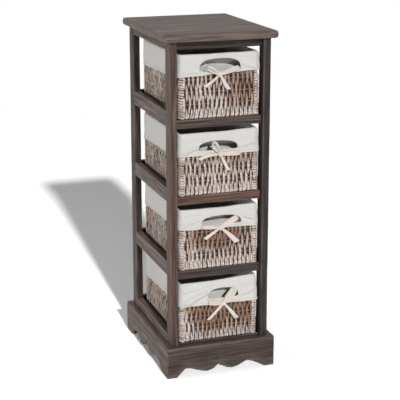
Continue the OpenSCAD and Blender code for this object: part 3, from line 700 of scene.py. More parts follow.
# woven baskets
basket = {
    "width": 176.4 * mm, "depth": 256.2 * mm, "middleY": -9.9 * mm,
    "corner": 9.0 * mm,      # radius of the outer corner
    "bottom": 0.3 * mm,
    "wall": 5.0 * mm,
    "top": 131.0 * mm,       # where the upright strands end, under the cloth
    "rim": 135.0 * mm,
    "bare": (80.0 * mm, 96.0 * mm),      # the cloth covers the wall from here up
    "pitch": 4.95 * mm,      # spacing of the upright strands
    "column": 8.6 * mm,      # width of the wrapped corner columns
    "firstWire": 6.2 * mm, "wireStep": 25.6 * mm,
    "wave": (1.15 * mm, 1.9 * mm),       # swing in and out, under the cloth and below it
    "strandWide": (2.06 * mm, 0.86 * mm),  # half width behind a wire, and what it gains in front
    "strandThick": 1.35 * mm,
    "late": 3.2 * mm,        # how much lower or higher than its neighbours a strand may swing
    "lean": 3.2 * mm, "own": 1.05 * mm,  # wandering sideways, with its neighbours and by itself
    "paired": 0.7 * mm,      # neighbours part at the foot
    "sizes": (0.78, 1.2),    # thin and thick strands
    "bend": 4.6 * mm,        # radius at the bottom edge
    "tuck": 7.0 * mm,        # length run in under the floor
    "holeHalf": (50.0 * mm, 16.5 * mm),
    "holeZ": 107.5 * mm, "holeShift": (3.0 * mm, 0.0, 1.0 * mm, -4.0 * mm),
    "holeSide": (0.0, 3.0 * mm, -4.0 * mm, 3.0 * mm),
    "wrapPitch": 5.5 * mm,
    # half width and half thickness: corner wraps, level wires, strand round the hand-hole
    "wrap": (2.7 * mm, 1.3 * mm), "wire": (1.0 * mm, 0.7 * mm), "coil": (2.5 * mm, 1.1 * mm),
    "coilPitch": 5.4 * mm, "coilSwing": (2.0 * mm, 1.3 * mm),
    # the inner layer is a sheet of painted shade, seen dark between the strands
    "huskAndShadeRows": (2.2, 20, 45, 70, 90.5, 102),      # heights of the inner layer's rings, in mm
    "huskAndShadeIn": 4.7 * mm,      # depth of the inner layer behind the wall's outer face
    # the floor's strands and the wires under them: half width and half thickness
    "mat": (2.9 * mm, 1.3 * mm), "matWire": (1.1 * mm, 0.8 * mm),
    "matPitch": 6.4 * mm, "matLevel": 2.85 * mm, "matWave": 1.05 * mm,
}
shelfTop = (0.565, 0.400, 0.235, 0.070)


def powered(v, power):
    # a power that keeps the sign
    return np.sign(v) * np.abs(v) ** power


def placeOf(k):
    return np.array([0, basket["middleY"], shelfTop[k]])


def bareAt(z):
    # 1 where the wall shows, 0 under the cloth
    return 1 - smooth(*basket["bare"], z)


def holeOutline(phi, halfWide, halfHigh):
    # flattened oval: x follows |cos|^0.75, z follows |sin|^0.75 above and |sin|^0.45 below
    c, s = np.cos(phi), np.sin(phi)
    return pack(halfWide * powered(c, 0.75), halfHigh * powered(s, np.where(s > 0, 0.75, 0.45)))


def holeReach(x, halfWide, halfHigh):
    # how far the hand-hole reaches above and below its middle at x
    c = np.clip(np.abs(x) / halfWide, 0, 1) ** (1 / 0.75)
    s = np.sqrt(np.clip(1 - c * c, 0, 1))
    return halfHigh * s ** 0.75, halfHigh * s ** 0.45


def sweep(path, across, outward, halfWide, halfThick, sides, boxy=1.0, closed=False, start=0.0):
    # an oval section (a superellipse where boxy is below 1) carried along one path (rows, 3) or
    # many (paths, rows, 3); returns one part ready for joinParts
    path = path.reshape(-1, *path.shape[-2:])
    across, outward = (np.broadcast_to(v, path.shape) for v in (across, outward))
    n, m = path.shape[:2]
    a = 2 * np.pi * (np.arange(sides) + 0.5) / sides
    ca, sa = powered(np.cos(a), boxy)[:, None], powered(np.sin(a), boxy)[:, None]
    hw, ht = (np.broadcast_to(v, (n, m))[..., None, None] for v in (halfWide, halfThick))
    verts = path[:, :, None] + across[:, :, None] * hw * ca + outward[:, :, None] * ht * sa
    step = np.linalg.norm(np.diff(path, axis=1, append=path[:, :1]), axis=-1)
    length = np.concatenate([np.zeros((n, 1)), np.cumsum(step, 1)], 1) + np.reshape(start, (-1, 1))
    rows = m if closed else m - 1
    i, r, k = np.meshgrid(np.arange(n), np.arange(rows), np.arange(sides), indexing="ij")
    here, there, k2 = (i * m + r) * sides, (i * m + (r + 1) % m) * sides, (k + 1) % sides
    quads = pack(here + k, here + k2, there + k2, there + k).reshape(-1, 4)
    uv = quadUv(k / sides, (k + 1) / sides, length[i, r], length[i, r + 1])
    caps = np.zeros((0, sides), int)
    if not closed:
        first = (np.arange(n) * m * sides)[:, None] + np.arange(sides)
        caps = np.concatenate([first[:, ::-1], first + (m - 1) * sides])
    if np.sum(np.cross(across[:, 0], outward[:, 0]) * (path[:, 1] - path[:, 0])) < 0:
        quads, uv, caps = quads[:, ::-1], uv[:, ::-1], caps[:, ::-1]
    return {"verts": verts, "quads": quads, "uv": uv, "caps": caps,
            "facing": np.broadcast_to(sa[:, 0], (n, m, sides))}


def dress(part, **attributes):
    part["attributes"] = attributes
    return part


def joinParts(name, parts, material, k, node):
    # parts become one piece, which moves with basket k; all carry the same attributes
    verts, faces, uv, offset = [], [], [], 0
    for part in parts:
        verts.append(part["verts"].reshape(-1, 3))
        faces += [part["quads"] + offset, part["caps"] + offset]
        uv += [part["uv"].reshape(-1, 2), np.zeros((part["caps"].size, 2))]
        offset += len(verts[-1])
    attributes = {key: np.concatenate([np.broadcast_to(p["attributes"][key], p["verts"].shape[:-1]).ravel()
                                       for p in parts]) for key in parts[0]["attributes"]}
    verts, uv = np.concatenate(verts), np.concatenate(uv)
    obj = makeObject(f"{name}_{k + 1}", verts, faces, material, uv, attributes)
    settle(obj, f"{node}_{k + 1}", f"basket_unit_{k + 1}")
    return obj


def uprightStrands(k, side, rng):
    # the strands of one side; those over the front's hand-hole are cut in two
    b = basket
    half = (b["width"] / 2, b["depth"] / 2)
    run = half[side % 2] - b["column"]
    count = int(round(2 * run / b["pitch"]))
    index = np.arange(count)
    q = (index + 0.5) / count * 2 * run - run
    foot, high = np.full(count, b["bottom"] + b["strandThick"] + b["bend"]), np.full(count, b["top"])
    hook = b["bend"] * math.pi / 2 + b["tuck"]
    if side != 0:
        return [strandGroup(k, side, rng, q, index, foot, high, hook, 50)]
    up, down = holeReach(q, *b["holeHalf"])
    middle = b["holeZ"] + b["holeShift"][k]
    cut = np.abs(q) < b["holeHalf"][0]
    below = np.where(cut, middle - down - 1 * mm, high)
    above = middle + up[cut] + 1 * mm
    return [strandGroup(k, side, rng, q, index, foot, below, hook, 50),
            strandGroup(k, side, rng, q[cut], index[cut], above, high[cut], 0.0, 7)]


def strandGroup(k, side, rng, q, index, low, high, hook, rows):
    # path of each strand: straight down the wall and, where it has a hook, a quarter turn at
    # the bottom edge, then inwards. It swings by wave * cos(pi (z - wire) / step + pi i) before
    # and behind the wires, wide where it is in front, so that neighbours interlock like bricks
    b, bend = basket, basket["bend"]
    seed = 100 * (k + 1) + side
    nx, ny = ((0, -1), (1, 0), (0, 1), (-1, 0))[side]
    normal, along = np.array([nx, ny, 0.0]), np.array([-ny, nx, 0.0])
    half = (b["width"] / 2, b["depth"] / 2)
    q, index, fall = q[:, None], index[:, None], (high - low)[:, None]
    dist = np.linspace(0, 1, rows) * (fall + hook)
    turn = np.clip((dist - fall) / bend, 0, math.pi / 2)
    z = high[:, None] - np.minimum(dist, fall) - bend * np.sin(turn)
    off = -bend * (1 - np.cos(turn)) - np.maximum(dist - fall - bend * math.pi / 2, 0)
    bare = bareAt(z)
    wave = b["wave"][0] + (b["wave"][1] - b["wave"][0]) * bare
    late = rng.uniform(-b["late"], b["late"], len(q))[:, None] * smooth(0.012, 0.03, z)
    steady = smooth(0.007, 0.022, z)
    wires = (z - late - b["firstWire"] - b["wireStep"]) / b["wireStep"]
    sway = np.cos(math.pi * wires + math.pi * index) * steady
    d = wave * sway + 0.5 * mm * bare * smooth(0.004, 0.012, z)
    lean = b["lean"] * softNoise(q / 0.026 + 9, z / 0.042 + 3, seed) * smooth(0, 0.02, z)
    own = b["own"] * softNoise(index * 1.7, z / 0.018, seed + 7)
    pair = b["paired"] * (1 - smooth(0.008, 0.03, z)) * np.where(index % 2, 1, -1)
    end = half[side % 2] - b["column"]
    lateral = q + (lean + own + pair) * smooth(0, 0.012, end - np.abs(q))
    outwards = normal * np.cos(turn)[..., None] - upwards * np.sin(turn)[..., None]
    centre = placeOf(k) + normal * (half[1 - side % 2] - b["wall"] / 2)
    path = (centre + along * lateral[..., None] + normal * off[..., None] + upwards * z[..., None]
            + outwards * d[..., None])
    slope = unit(np.gradient(path, axis=1))
    across = square(along, slope)
    size = rng.uniform(*b["sizes"], len(q))[:, None]
    lumps = 1 + 0.07 * softNoise(index * 3.1, z / 0.006, seed + 3)
    ahead = np.where(steady > 0.5, (sway + 1) / 2, 0.55)
    wide = (b["strandWide"][0] + b["strandWide"][1] * ahead) * size * lumps
    wide = wide * (1 - 0.35 * smooth(0.010, 0.004, z) * (off < -bend * 0.9))
    thick = b["strandThick"] * (1 + 0.12 * bare) * (0.94 + 0.06 * size)
    start = rng.uniform(0, 0.1, len(q))
    part = sweep(path, across, unit(np.cross(slope, across)), wide, thick, 7, start=start)
    # the wash lies on what stands out; what lies back gets little, which the material paints
    # near-black as shade. stain is the brown left by the husk itself
    wash = smooth(-0.35, 0.75, part["facing"]) * smooth(-1.3 * mm, 1.1 * mm, d)[..., None]
    wash = np.maximum(wash, smooth(-0.2, 0.6, part["facing"]) * (1 - smooth(0.006, 0.016, z))[..., None])
    tone = rng.uniform(0, 1, len(q))[:, None, None]
    return dress(part, wash=wash, stain=stainAt(k, side, q, z)[..., None], tone=tone)


# brown patches of each basket's front: x, z, reach across, reach up, strength
stains = (
    ((62, 62, 34, 50, 0.75), (10, 88, 40, 18, 0.45), (25, 52, 20, 16, 0.3)),
    ((0, 84, 55, 18, 0.55), (-45, 60, 18, 30, 0.2), (60, 75, 25, 30, 0.3)),
    ((0, 82, 62, 22, 0.7), (20, 58, 48, 24, 0.6), (-40, 70, 24, 22, 0.5)),
    ((-18, 55, 30, 40, 0.95), (60, 60, 34, 44, 0.9), (20, 78, 44, 28, 0.95), (-60, 78, 22, 16, 0.6)),
)


def stainAt(k, side, q, z):
    # sum of soft oval patches on the front, cloudy noise elsewhere, paler at the foot
    cloud = 0.5 + 0.5 * softNoise(q / 0.03 + 5 * side, z / 0.028, 900 + 10 * k + side)
    total = 0.18 + 0.4 * cloud
    if side == 0:
        total = 0.1 + 0.28 * cloud
        for x0, z0, wx, wz, strength in stains[k]:
            total = total + strength * np.exp(-((q / mm - x0) / wx) ** 2 - ((z / mm - z0) / wz) ** 2)
    return np.clip(total * (0.35 + 0.65 * smooth(0.004, 0.03, z)), 0, 1)


def cornerPoint(k, corner, along, offset):
    # a point beside a rounded corner: along is measured round it from its middle, offset
    # from the wall's outer face; gives point, outward normal and the direction along
    b = basket
    sx, sy = ((1, -1), (1, 1), (-1, 1), (-1, -1))[corner]
    r = b["corner"]
    mid = r - b["wall"] / 2
    angle = np.clip(along / mid, -math.pi / 4, math.pi / 4)
    beyond = (along - angle * mid)[..., None]
    angle = angle + (2 * corner - 1) * math.pi / 4
    n, t = pack(np.cos(angle), np.sin(angle), 0), pack(-np.sin(angle), np.cos(angle), 0)
    c = placeOf(k) + np.array([sx * (b["width"] / 2 - r), sy * (b["depth"] / 2 - r), 0])
    return c + n * (r + offset)[..., None] + t * beyond, n, t


def cornerWraps(k):
    # a flattened helix round each corner: along = half cos(psi), offset swings by sin(psi),
    # and z climbs one wrap for each turn
    b = basket
    parts = []
    turns = (b["top"] - b["bottom"] - 4 * mm) / b["wrapPitch"]
    psi = np.arange(0, int(turns * 18) + 1) / 18 * 2 * math.pi
    for corner in range(4):
        seed = 4 * k + corner
        z = b["bottom"] + 2.9 * mm + psi / (2 * math.pi) * b["wrapPitch"]
        z = z + 0.5 * mm * softNoise(psi / 5.0, 2.0 * corner, 300 + k)
        bare = bareAt(z)
        half = (b["corner"] - b["wall"] / 2) * math.pi / 4 + 0.9 * mm
        half = half + 0.8 * mm * softNoise(psi / 2.4, 1.0, 310 + seed)
        along = half * np.cos(psi)
        offset = -2.5 * mm + (1.1 + 0.6 * bare) * mm * np.sin(psi) + 1.1 * mm * bare
        if corner == 0:                      # the front right corner bulges towards its post
            offset = offset + 1.8 * mm * bare * smooth(-1.0 * mm, 5.0 * mm, along)
        p, n, t = cornerPoint(k, corner, along, offset)
        path = p + upwards * z[:, None]
        slope = unit(np.gradient(path, axis=0))
        outward = square(unit(t * (np.cos(psi) / 4.0)[:, None] + n * np.sin(psi)[:, None]), slope)
        size = 1 + 0.22 * softNoise(psi / 2.2, 0.5, 320 + seed)
        wide, thick = b["wrap"]
        part = sweep(path, np.cross(outward, slope), outward, wide * size, thick, 6, start=0.03 * corner)
        # the passes behind get no wash, and the material paints them near-black as shade
        wash = smooth(-0.3, 0.7, part["facing"]) * smooth(-0.4, 0.3, np.sin(psi))[:, None]
        stain = 0.22 + 0.3 * softNoise(psi / 9.0, 3.0, 330 + seed)
        tone = 0.5 + 0.5 * softNoise(psi / 2 / math.pi, 7.0, 340 + seed)
        parts.append(dress(part, wash=wash, stain=stain[:, None], tone=tone[:, None]))
    return parts


def ringWires(k):
    # the level wires, wrapped thin: the wall's middle line carried round; the highest of them
    # is left open at the hand-hole
    b = basket
    parts = []
    w, d, r = b["width"] - b["wall"], b["depth"] - b["wall"], b["corner"] - b["wall"] / 2
    gap = b["holeHalf"][0] / ringAt(0.0, w, d, r)[2]
    for j in range(5):
        highest = j == 4
        s = np.linspace(gap, 1 - gap, 140) if highest else np.linspace(0, 1, 161)[:-1]
        p, n, _ = ringAt(s, w, d, r)
        lift = 0.5 * mm * softNoise(*ringPlace(s, 9), 400 + 10 * k + j)
        out = 0.5 * mm if 0 < j < 4 else 0.0
        path = raised(p + n * out, b["firstWire"] + j * b["wireStep"] + lift) + placeOf(k)
        part = sweep(path, upwards, raised(n, 0), *b["wire"], 6, closed=not highest, start=0.01 * j)
        # the backs of the wires get no wash, and the material paints them near-black as shade
        parts.append(dress(part, wash=0.55 * smooth(-0.3, 0.5, part["facing"]), stain=0.6, tone=0.5))
    return parts


def innerHuskAndShade(k):
    # the wall's inner layer, which stands for the inner strands and is coloured near-black as
    # painted shade between the outer strands: the ring carried up the wall, with ripples of one
    # strand's width, and with its top row left out beside the hand-hole
    b, count = basket, 400
    s = np.arange(count) / count
    p, n, total = ringAt(s, b["width"], b["depth"], b["corner"])
    zs = np.array(b["huskAndShadeRows"]) * mm
    zs[4] += b["holeShift"][k]
    offset = -b["huskAndShadeIn"] + 0.25 * mm * np.cos(2 * math.pi * s * total / b["pitch"])
    grid = raised(p + n * offset[:, None], 0) + placeOf(k) + zs[:, None, None] * upwards
    quads = gridFaces(len(zs), count)
    x, y = p[quads[:, 0] % count].T
    quads = quads[(quads[:, 0] < 4 * count) | (np.abs(x) >= 54 * mm) | (y >= 0)][:, ::-1]
    uv = pack(s[quads % count] * total / b["pitch"], zs[quads // count])
    part = {"verts": grid, "quads": quads, "uv": uv, "caps": np.zeros((0, 4), int)}
    # almost no wash and full stain: the layer comes out near-black, as painted shade
    return dress(part, wash=0.04, stain=1.0, tone=0.5)


def handHole(k):
    # a strand coiled round the hole's outline: the outline is walked evenly, and the coil
    # turns about it in an oval as deep as the wall
    b = basket
    fine = holeOutline(np.linspace(0, 2 * math.pi, 2001), *(v - 0.6 * mm for v in b["holeHalf"]))
    walked = walk(fine)
    turns = int(round(walked[-1] / b["coilPitch"]))
    rows = turns * 11
    s = np.arange(rows) / rows * walked[-1]
    cx, cz = (np.interp(s, walked, v) for v in fine.T)
    travel = unit(pack(*(np.roll(v, -3) - np.roll(v, 3) for v in (cx, cz))))
    outside = pack(travel[:, 1], 0, -travel[:, 0])
    psi = 2 * math.pi * turns * np.arange(rows)[:, None] / rows
    centre = placeOf(k) + [b["holeSide"][k], (b["wall"] - b["depth"]) / 2, b["holeZ"] + b["holeShift"][k]]
    wide, deep = b["coilSwing"]
    path = centre + pack(cx, 0, cz) + outside * wide * np.cos(psi) + frontwards * deep * np.sin(psi)
    slope = unit(np.roll(path, -1, 0) - np.roll(path, 1, 0))
    outward = square(unit(outside * np.cos(psi) / wide + frontwards * np.sin(psi) / deep), slope)
    part = sweep(path, np.cross(outward, slope), outward, *b["coil"], 6, closed=True)
    # the coil's passes behind get no wash, and the material paints them near-black as shade
    wash = smooth(-0.3, 0.8, part["facing"]) * smooth(-0.6, 0.6, np.sin(psi)) * 0.8
    return dress(part, wash=wash, stain=0.55, tone=0.4)


def floorMat(k, rng):
    # strands from side to side that go over and under five wires running front to back
    b = basket
    inside = (b["width"] / 2 - 7 * mm, b["depth"] / 2 - 7.5 * mm)
    count = int(2 * inside[1] / b["matPitch"])
    row = np.arange(count)[:, None]
    gap = 2 * inside[0] / 6
    x = np.linspace(-inside[0], inside[0], 34)
    y = (row + 0.5) / count * 2 * inside[1] - inside[1]
    wave = b["matWave"] * np.cos(math.pi * x / gap + math.pi * row)
    path = pack(x, y, b["matLevel"] + wave) + placeOf(k)
    start = rng.uniform(0, 0.1, count)
    strands = sweep(path, -frontwards, upwards, *b["mat"], 6, start=start)
    wash = 0.35 + 0.3 * smooth(0.3, -0.6, strands["facing"])
    dress(strands, wash=wash, stain=0.6, tone=rng.uniform(0, 1, count)[:, None, None])
    x, y = gap * np.arange(-2, 3)[:, None], np.linspace(-inside[1], inside[1], 12)
    path = pack(x, y, b["matLevel"]) + placeOf(k)
    wires = sweep(path, np.array([1.0, 0, 0]), upwards, *b["matWire"], 6)
    return [strands, dress(wires, wash=0.5, stain=0.5, tone=0.5)]


for k in range(levels):
    rng = np.random.default_rng(700 + k)
    made = {
        "weave": sum((uprightStrands(k, side, rng) for side in range(4)), []),
        "corner_wraps": cornerWraps(k),
        "weave_wires": ringWires(k),
        "inner_husk_and_shade": [innerHuskAndShade(k)],
        "hand_hole": [handHole(k)],
        "floor_mat": floorMat(k, rng),
    }
    for label, parts in made.items():
        joinParts("basket_" + label, parts, rush, k, "basket")
    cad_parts[f"basket_hoop_{k + 1}"].data.materials[0] = wire
print("baskets ready")

# cloth liners
liner = {
    "columns": (48, 9, 76, 9, 56, 9, 76, 9, 48),   # grid columns on each leg of the ring
    "inner": -6.3 * mm,      # lining, measured outwards from the wall's outer face
    "cuffNear": 0.9 * mm,    # cuff just under the rim
    "cuffFar": 2.1 * mm,     # cuff at its hem
    "floorZ": 6.8 * mm, "floorBend": 3.2 * mm,
    "crown": 135.3 * mm, "shoulder": 130.3 * mm,
    "cuffRows": 30,
    "wallRows": ((12, 84, 14), (87.5, 129, 15)),   # from, to and number of rings, in mm
    "floorRings": (0.1, 0.28, 0.46, 0.64, 0.8, 0.92, 1.0),
    "thick": 1.0 * mm,
    "hemBand": 6.5 * mm,
    "creased": 2.8 * mm,     # height of a crease of 1
    "roll": (2.1 * mm, 0.95 * mm),       # half width and half thickness of the hole's rolled edge
    "noStitch": 0.1,         # what the hem attribute says away from a hem
    "flat": (0.537, 0.617), "area": 0.191,
}
# each basket's cuff: drop of the hem at front left, front right, right side, back, left side
# (back end, front end); hand-hole (x, z, half width, up, down); lift of the rim at the right;
# slack, how far the lining hangs inwards behind the hand-hole, with room for the fingers;
# creases (from x and z, to x and z, width, height), all in mm
cuffs = (
    {"drop": (46, 37, 45, 50, 55, 48), "hole": (1, 105, 47, 22.5, 8), "lift": 0.8, "slack": 20,
     "creases": ((50, 112, 90, 104, 4, 0.9), (50, 104, 88, 99, 3, -0.7), (-48, 100, -90, 97, 3.5, 0.8),
                 (78, 134, 84, 104, 3, 0.8), (-10, 131, -76, 127, 3, 0.5), (30, 131, 70, 124, 4, -0.5))},
    {"drop": (49, 48, 48, 52, 60, 50), "hole": (-3, 99.5, 45.5, 19.5, 4), "lift": 2.8, "slack": 28,
     "creases": ((-42, 107, -92, 90, 4.5, 1.6), (-52, 116, -90, 103, 4, -1.0), (40, 103, 90, 113, 4.5, 1.3),
                 (44, 96, 90, 102, 3.5, -1.0), (79, 136, 80, 98, 2.2, 0.9), (10, 129, 84, 126, 2.5, 0.7),
                 (-20, 127, -80, 124, 3, 0.6))},
    {"drop": (43, 47, 47, 50, 49, 42), "hole": (5.5, 100, 47, 20, 3.5), "lift": 1.6, "slack": 27,
     "creases": ((52, 115, 92, 103, 3.5, 1.6), (48, 122, 92, 118, 3, -1.1), (58, 106, 90, 95, 4, -1.0),
                 (-42, 112, -88, 103, 4, 1.1), (-40, 121, -84, 116, 3.5, -0.8), (-60, 128, 30, 130, 2.5, 0.7),
                 (60, 129, 90, 127, 2.5, 0.9))},
    {"drop": (52, 54, 52, 52, 56, 46), "hole": (10, 98, 37, 22.5, 4), "lift": 4.5, "slack": 28,
     "creases": ((-24, 112, -76, 90, 6, 2.4), (-30, 119, -84, 103, 4, -1.7), (-34, 125, -88, 117, 3.5, 1.3),
                 (-30, 130, -84, 126, 3, -0.8), (46, 110, 88, 122, 4, -1.2), (46, 100, 90, 110, 4.5, 1.2),
                 (-80, 108, -84, 92, 3, 0.9))},
)


def ringColumns():
    # even steps on every leg of the rounded rectangle, finer where the cloth shows most
    b = basket
    r, sx, sy = b["corner"], b["width"] - 2 * b["corner"], b["depth"] - 2 * b["corner"]
    arc = math.pi * r / 2
    legs = (sx / 2, arc, sy, arc, sx, arc, sy, arc, sx / 2)
    start = np.concatenate([[0], np.cumsum(legs)])
    s = np.concatenate([start[i] + np.arange(c) / c * legs[i] for i, c in enumerate(liner["columns"])])
    p, n, total = ringAt(s / start[-1], b["width"], b["depth"], r)
    return s, total, p, n


def creaseField(x, z, creases):
    # sum of ridges: height * exp(-(distance from the line / width)^2), faded beyond the line's ends
    total = np.zeros(np.broadcast(x, z).shape)
    for x0, z0, x1, z1, width, height in creases:
        long = math.hypot(x1 - x0, z1 - z0)
        dx, dz = (x1 - x0) / long, (z1 - z0) / long
        along = (x - x0) * dx + (z - z0) * dz
        away = -(x - x0) * dz + (z - z0) * dx + 1.4 * np.sin(along / long * math.pi)
        fade = smooth(-6, 8, along) * (1 - smooth(long - 6, long + 6, along))
        total = total + height * fade * np.exp(-(away / (width * (0.7 + 0.6 * along / long))) ** 2)
    return total


def cutHole(x, z, outline, mayCut):
    # grid points beside the removed cells move onto the outline; returns kept cells and new points
    inside = np.zeros(x.shape, bool)
    for (x0, z0), (x1, z1) in zip(outline, np.roll(outline, -1, 0)):
        cross = (z0 > z) != (z1 > z)
        inside ^= cross & (x < (x1 - x0) * (z - z0) / (z1 - z0 + 1e-15) + x0)
    inside &= mayCut
    counts = sum(c[:-1].astype(int) + c[1:] for c in (inside, np.roll(inside, -1, 1)))
    gone = counts >= 2                      # cells with at least half of their corners inside
    near = mayCut
    for cells in (gone, ~gone):
        beside = np.pad(cells, ((1, 1), (0, 0)))
        beside = beside[:-1] | beside[1:]
        near = near & (beside | np.roll(beside, 1, 1))
    x, z = x.copy(), z.copy()
    away = ((pack(x[near], z[near])[:, None] - outline) ** 2).sum(-1)
    x[near], z[near] = outline[np.argmin(away, 1)].T
    return ~gone, x, z


def hemLine(k, share, p, front):
    # height of the cuff's hem: straight lines between the drops that the cuff names, softened
    # over nine columns, and a little uneven
    b = basket
    half, deep = b["width"] / 2, b["depth"]
    ends = np.array([0, half, half + deep / 2, half + deep, 2 * half + deep, 3 * half + deep,
                     3 * half + 1.5 * deep, 3 * half + 2 * deep, 4 * half + 2 * deep])
    fl, fr, rs, bk, lb, lf = cuffs[k]["drop"]
    drops = [(fl + fr) / 2, fr, rs, (rs + bk) / 2, bk, lb, (lb + lf) / 2, lf, (fl + fr) / 2]
    drop = np.interp(share, ends / ends[-1], drops)
    drop = np.where(p[:, 1] < -deep / 2 + b["corner"], np.where(p[:, 0] < 0, fl, fr), drop)
    drop = np.where(front, fl + (fr - fl) * (p[:, 0] / b["width"] + 0.5), drop)
    kernel = np.hanning(9)
    drop = np.convolve(np.pad(drop, 4, "wrap"), kernel / kernel.sum(), "valid")
    return b["rim"] - drop * mm + 0.9 * mm * softNoise(*ringPlace(share, 7), 500 + 20 * k)


def cuffOffset(reach):
    # how far out the smooth cuff lies, where reach is 0 at the rim and 1 at the hem
    return liner["cuffNear"] + (liner["cuffFar"] - liner["cuffNear"]) * reach ** 1.5


def cuffRelief(k, ring, hem, x, z, outline):
    # how far the cuff stands out: noise that grows towards the hem, on the front ridges and
    # fine wrinkles and a lip of exp(-(distance from the hole / 2.6 mm)^2), and a thicker hem
    b, c, seed = basket, liner, 500 + 20 * k
    s, turnX, turnY, p, n, front = ring
    reach = np.clip((c["shoulder"] - z) / (c["shoulder"] - hem), 0, 1)
    folds = 0.75 * mm * softNoise(turnX * 4.4, turnY * 4.4 + reach * 0.8, seed + 4)
    folds = folds + 0.35 * mm * softNoise(turnX * 9, turnY * 9 + reach * 1.3, seed + 5)
    tug = 0.55 * mm * softNoise(s / (24 * mm) + 7, z / (9 * mm), seed + 10)      # lies along the sides
    relief = np.minimum(folds * (0.25 + 0.75 * reach) + tug * smooth(0, 0.3, reach), 1.25 * mm)
    fx, fz = x / mm, z / mm
    fine = 0.85 * softNoise(fx / 19 + 9, fz / 7, seed + 6) + 0.3 * softNoise(fx / 8 + 3, fz / 4.2, seed + 7)
    ridge = c["creased"] * creaseField(fx, fz, cuffs[k]["creases"]) + fine * mm
    away = np.ones(z.shape)
    points = pack(x, z)[:, front]
    away[:, front] = np.sqrt(((points[:, :, None] - outline[::3]) ** 2).sum(-1)).min(-1)
    lip = 0.7 * mm * np.exp(-(away / (2.6 * mm)) ** 2)
    calm = smooth(0.0, 0.006, away)
    onFront = relief * 0.6 * calm + ridge * smooth(0, 0.35, reach) * (0.35 + 0.65 * calm) + lip
    relief = np.where(front, onFront, relief)
    relief = relief + 0.3 * mm * (1 - smooth(c["hemBand"] - 0.8 * mm, c["hemBand"] + 0.4 * mm, z - hem))
    relief = np.maximum(relief, -0.5 * mm - 0.6 * mm * (1 - reach))
    corner = smooth(0.5, 0.95, n[:, 0]) * smooth(-b["depth"] / 2 + 34 * mm, -b["depth"] / 2 + 8 * mm, p[:, 1])
    return relief + 2.0 * mm * corner * smooth(0.05, 0.5, reach)     # slack at the front right corner


def liningFloor(p, n, seed):
    # rings from the middle of the floor outwards, then a quarter circle up to the wall
    c, bend = liner, liner["floorBend"]
    inner = p + n * (c["inner"] - bend)
    low = []
    for f in c["floorRings"]:
        ripple = 0.5 * mm * softNoise(*(inner * f / 0.03 + 9).T, seed)
        low.append(raised(inner * f, c["floorZ"] + np.abs(ripple)))
    for a in np.radians((25, 50, 75)):
        low.append(raised(inner + n * bend * math.sin(a), c["floorZ"] + bend * (1 - math.cos(a))))
    return np.array(low)


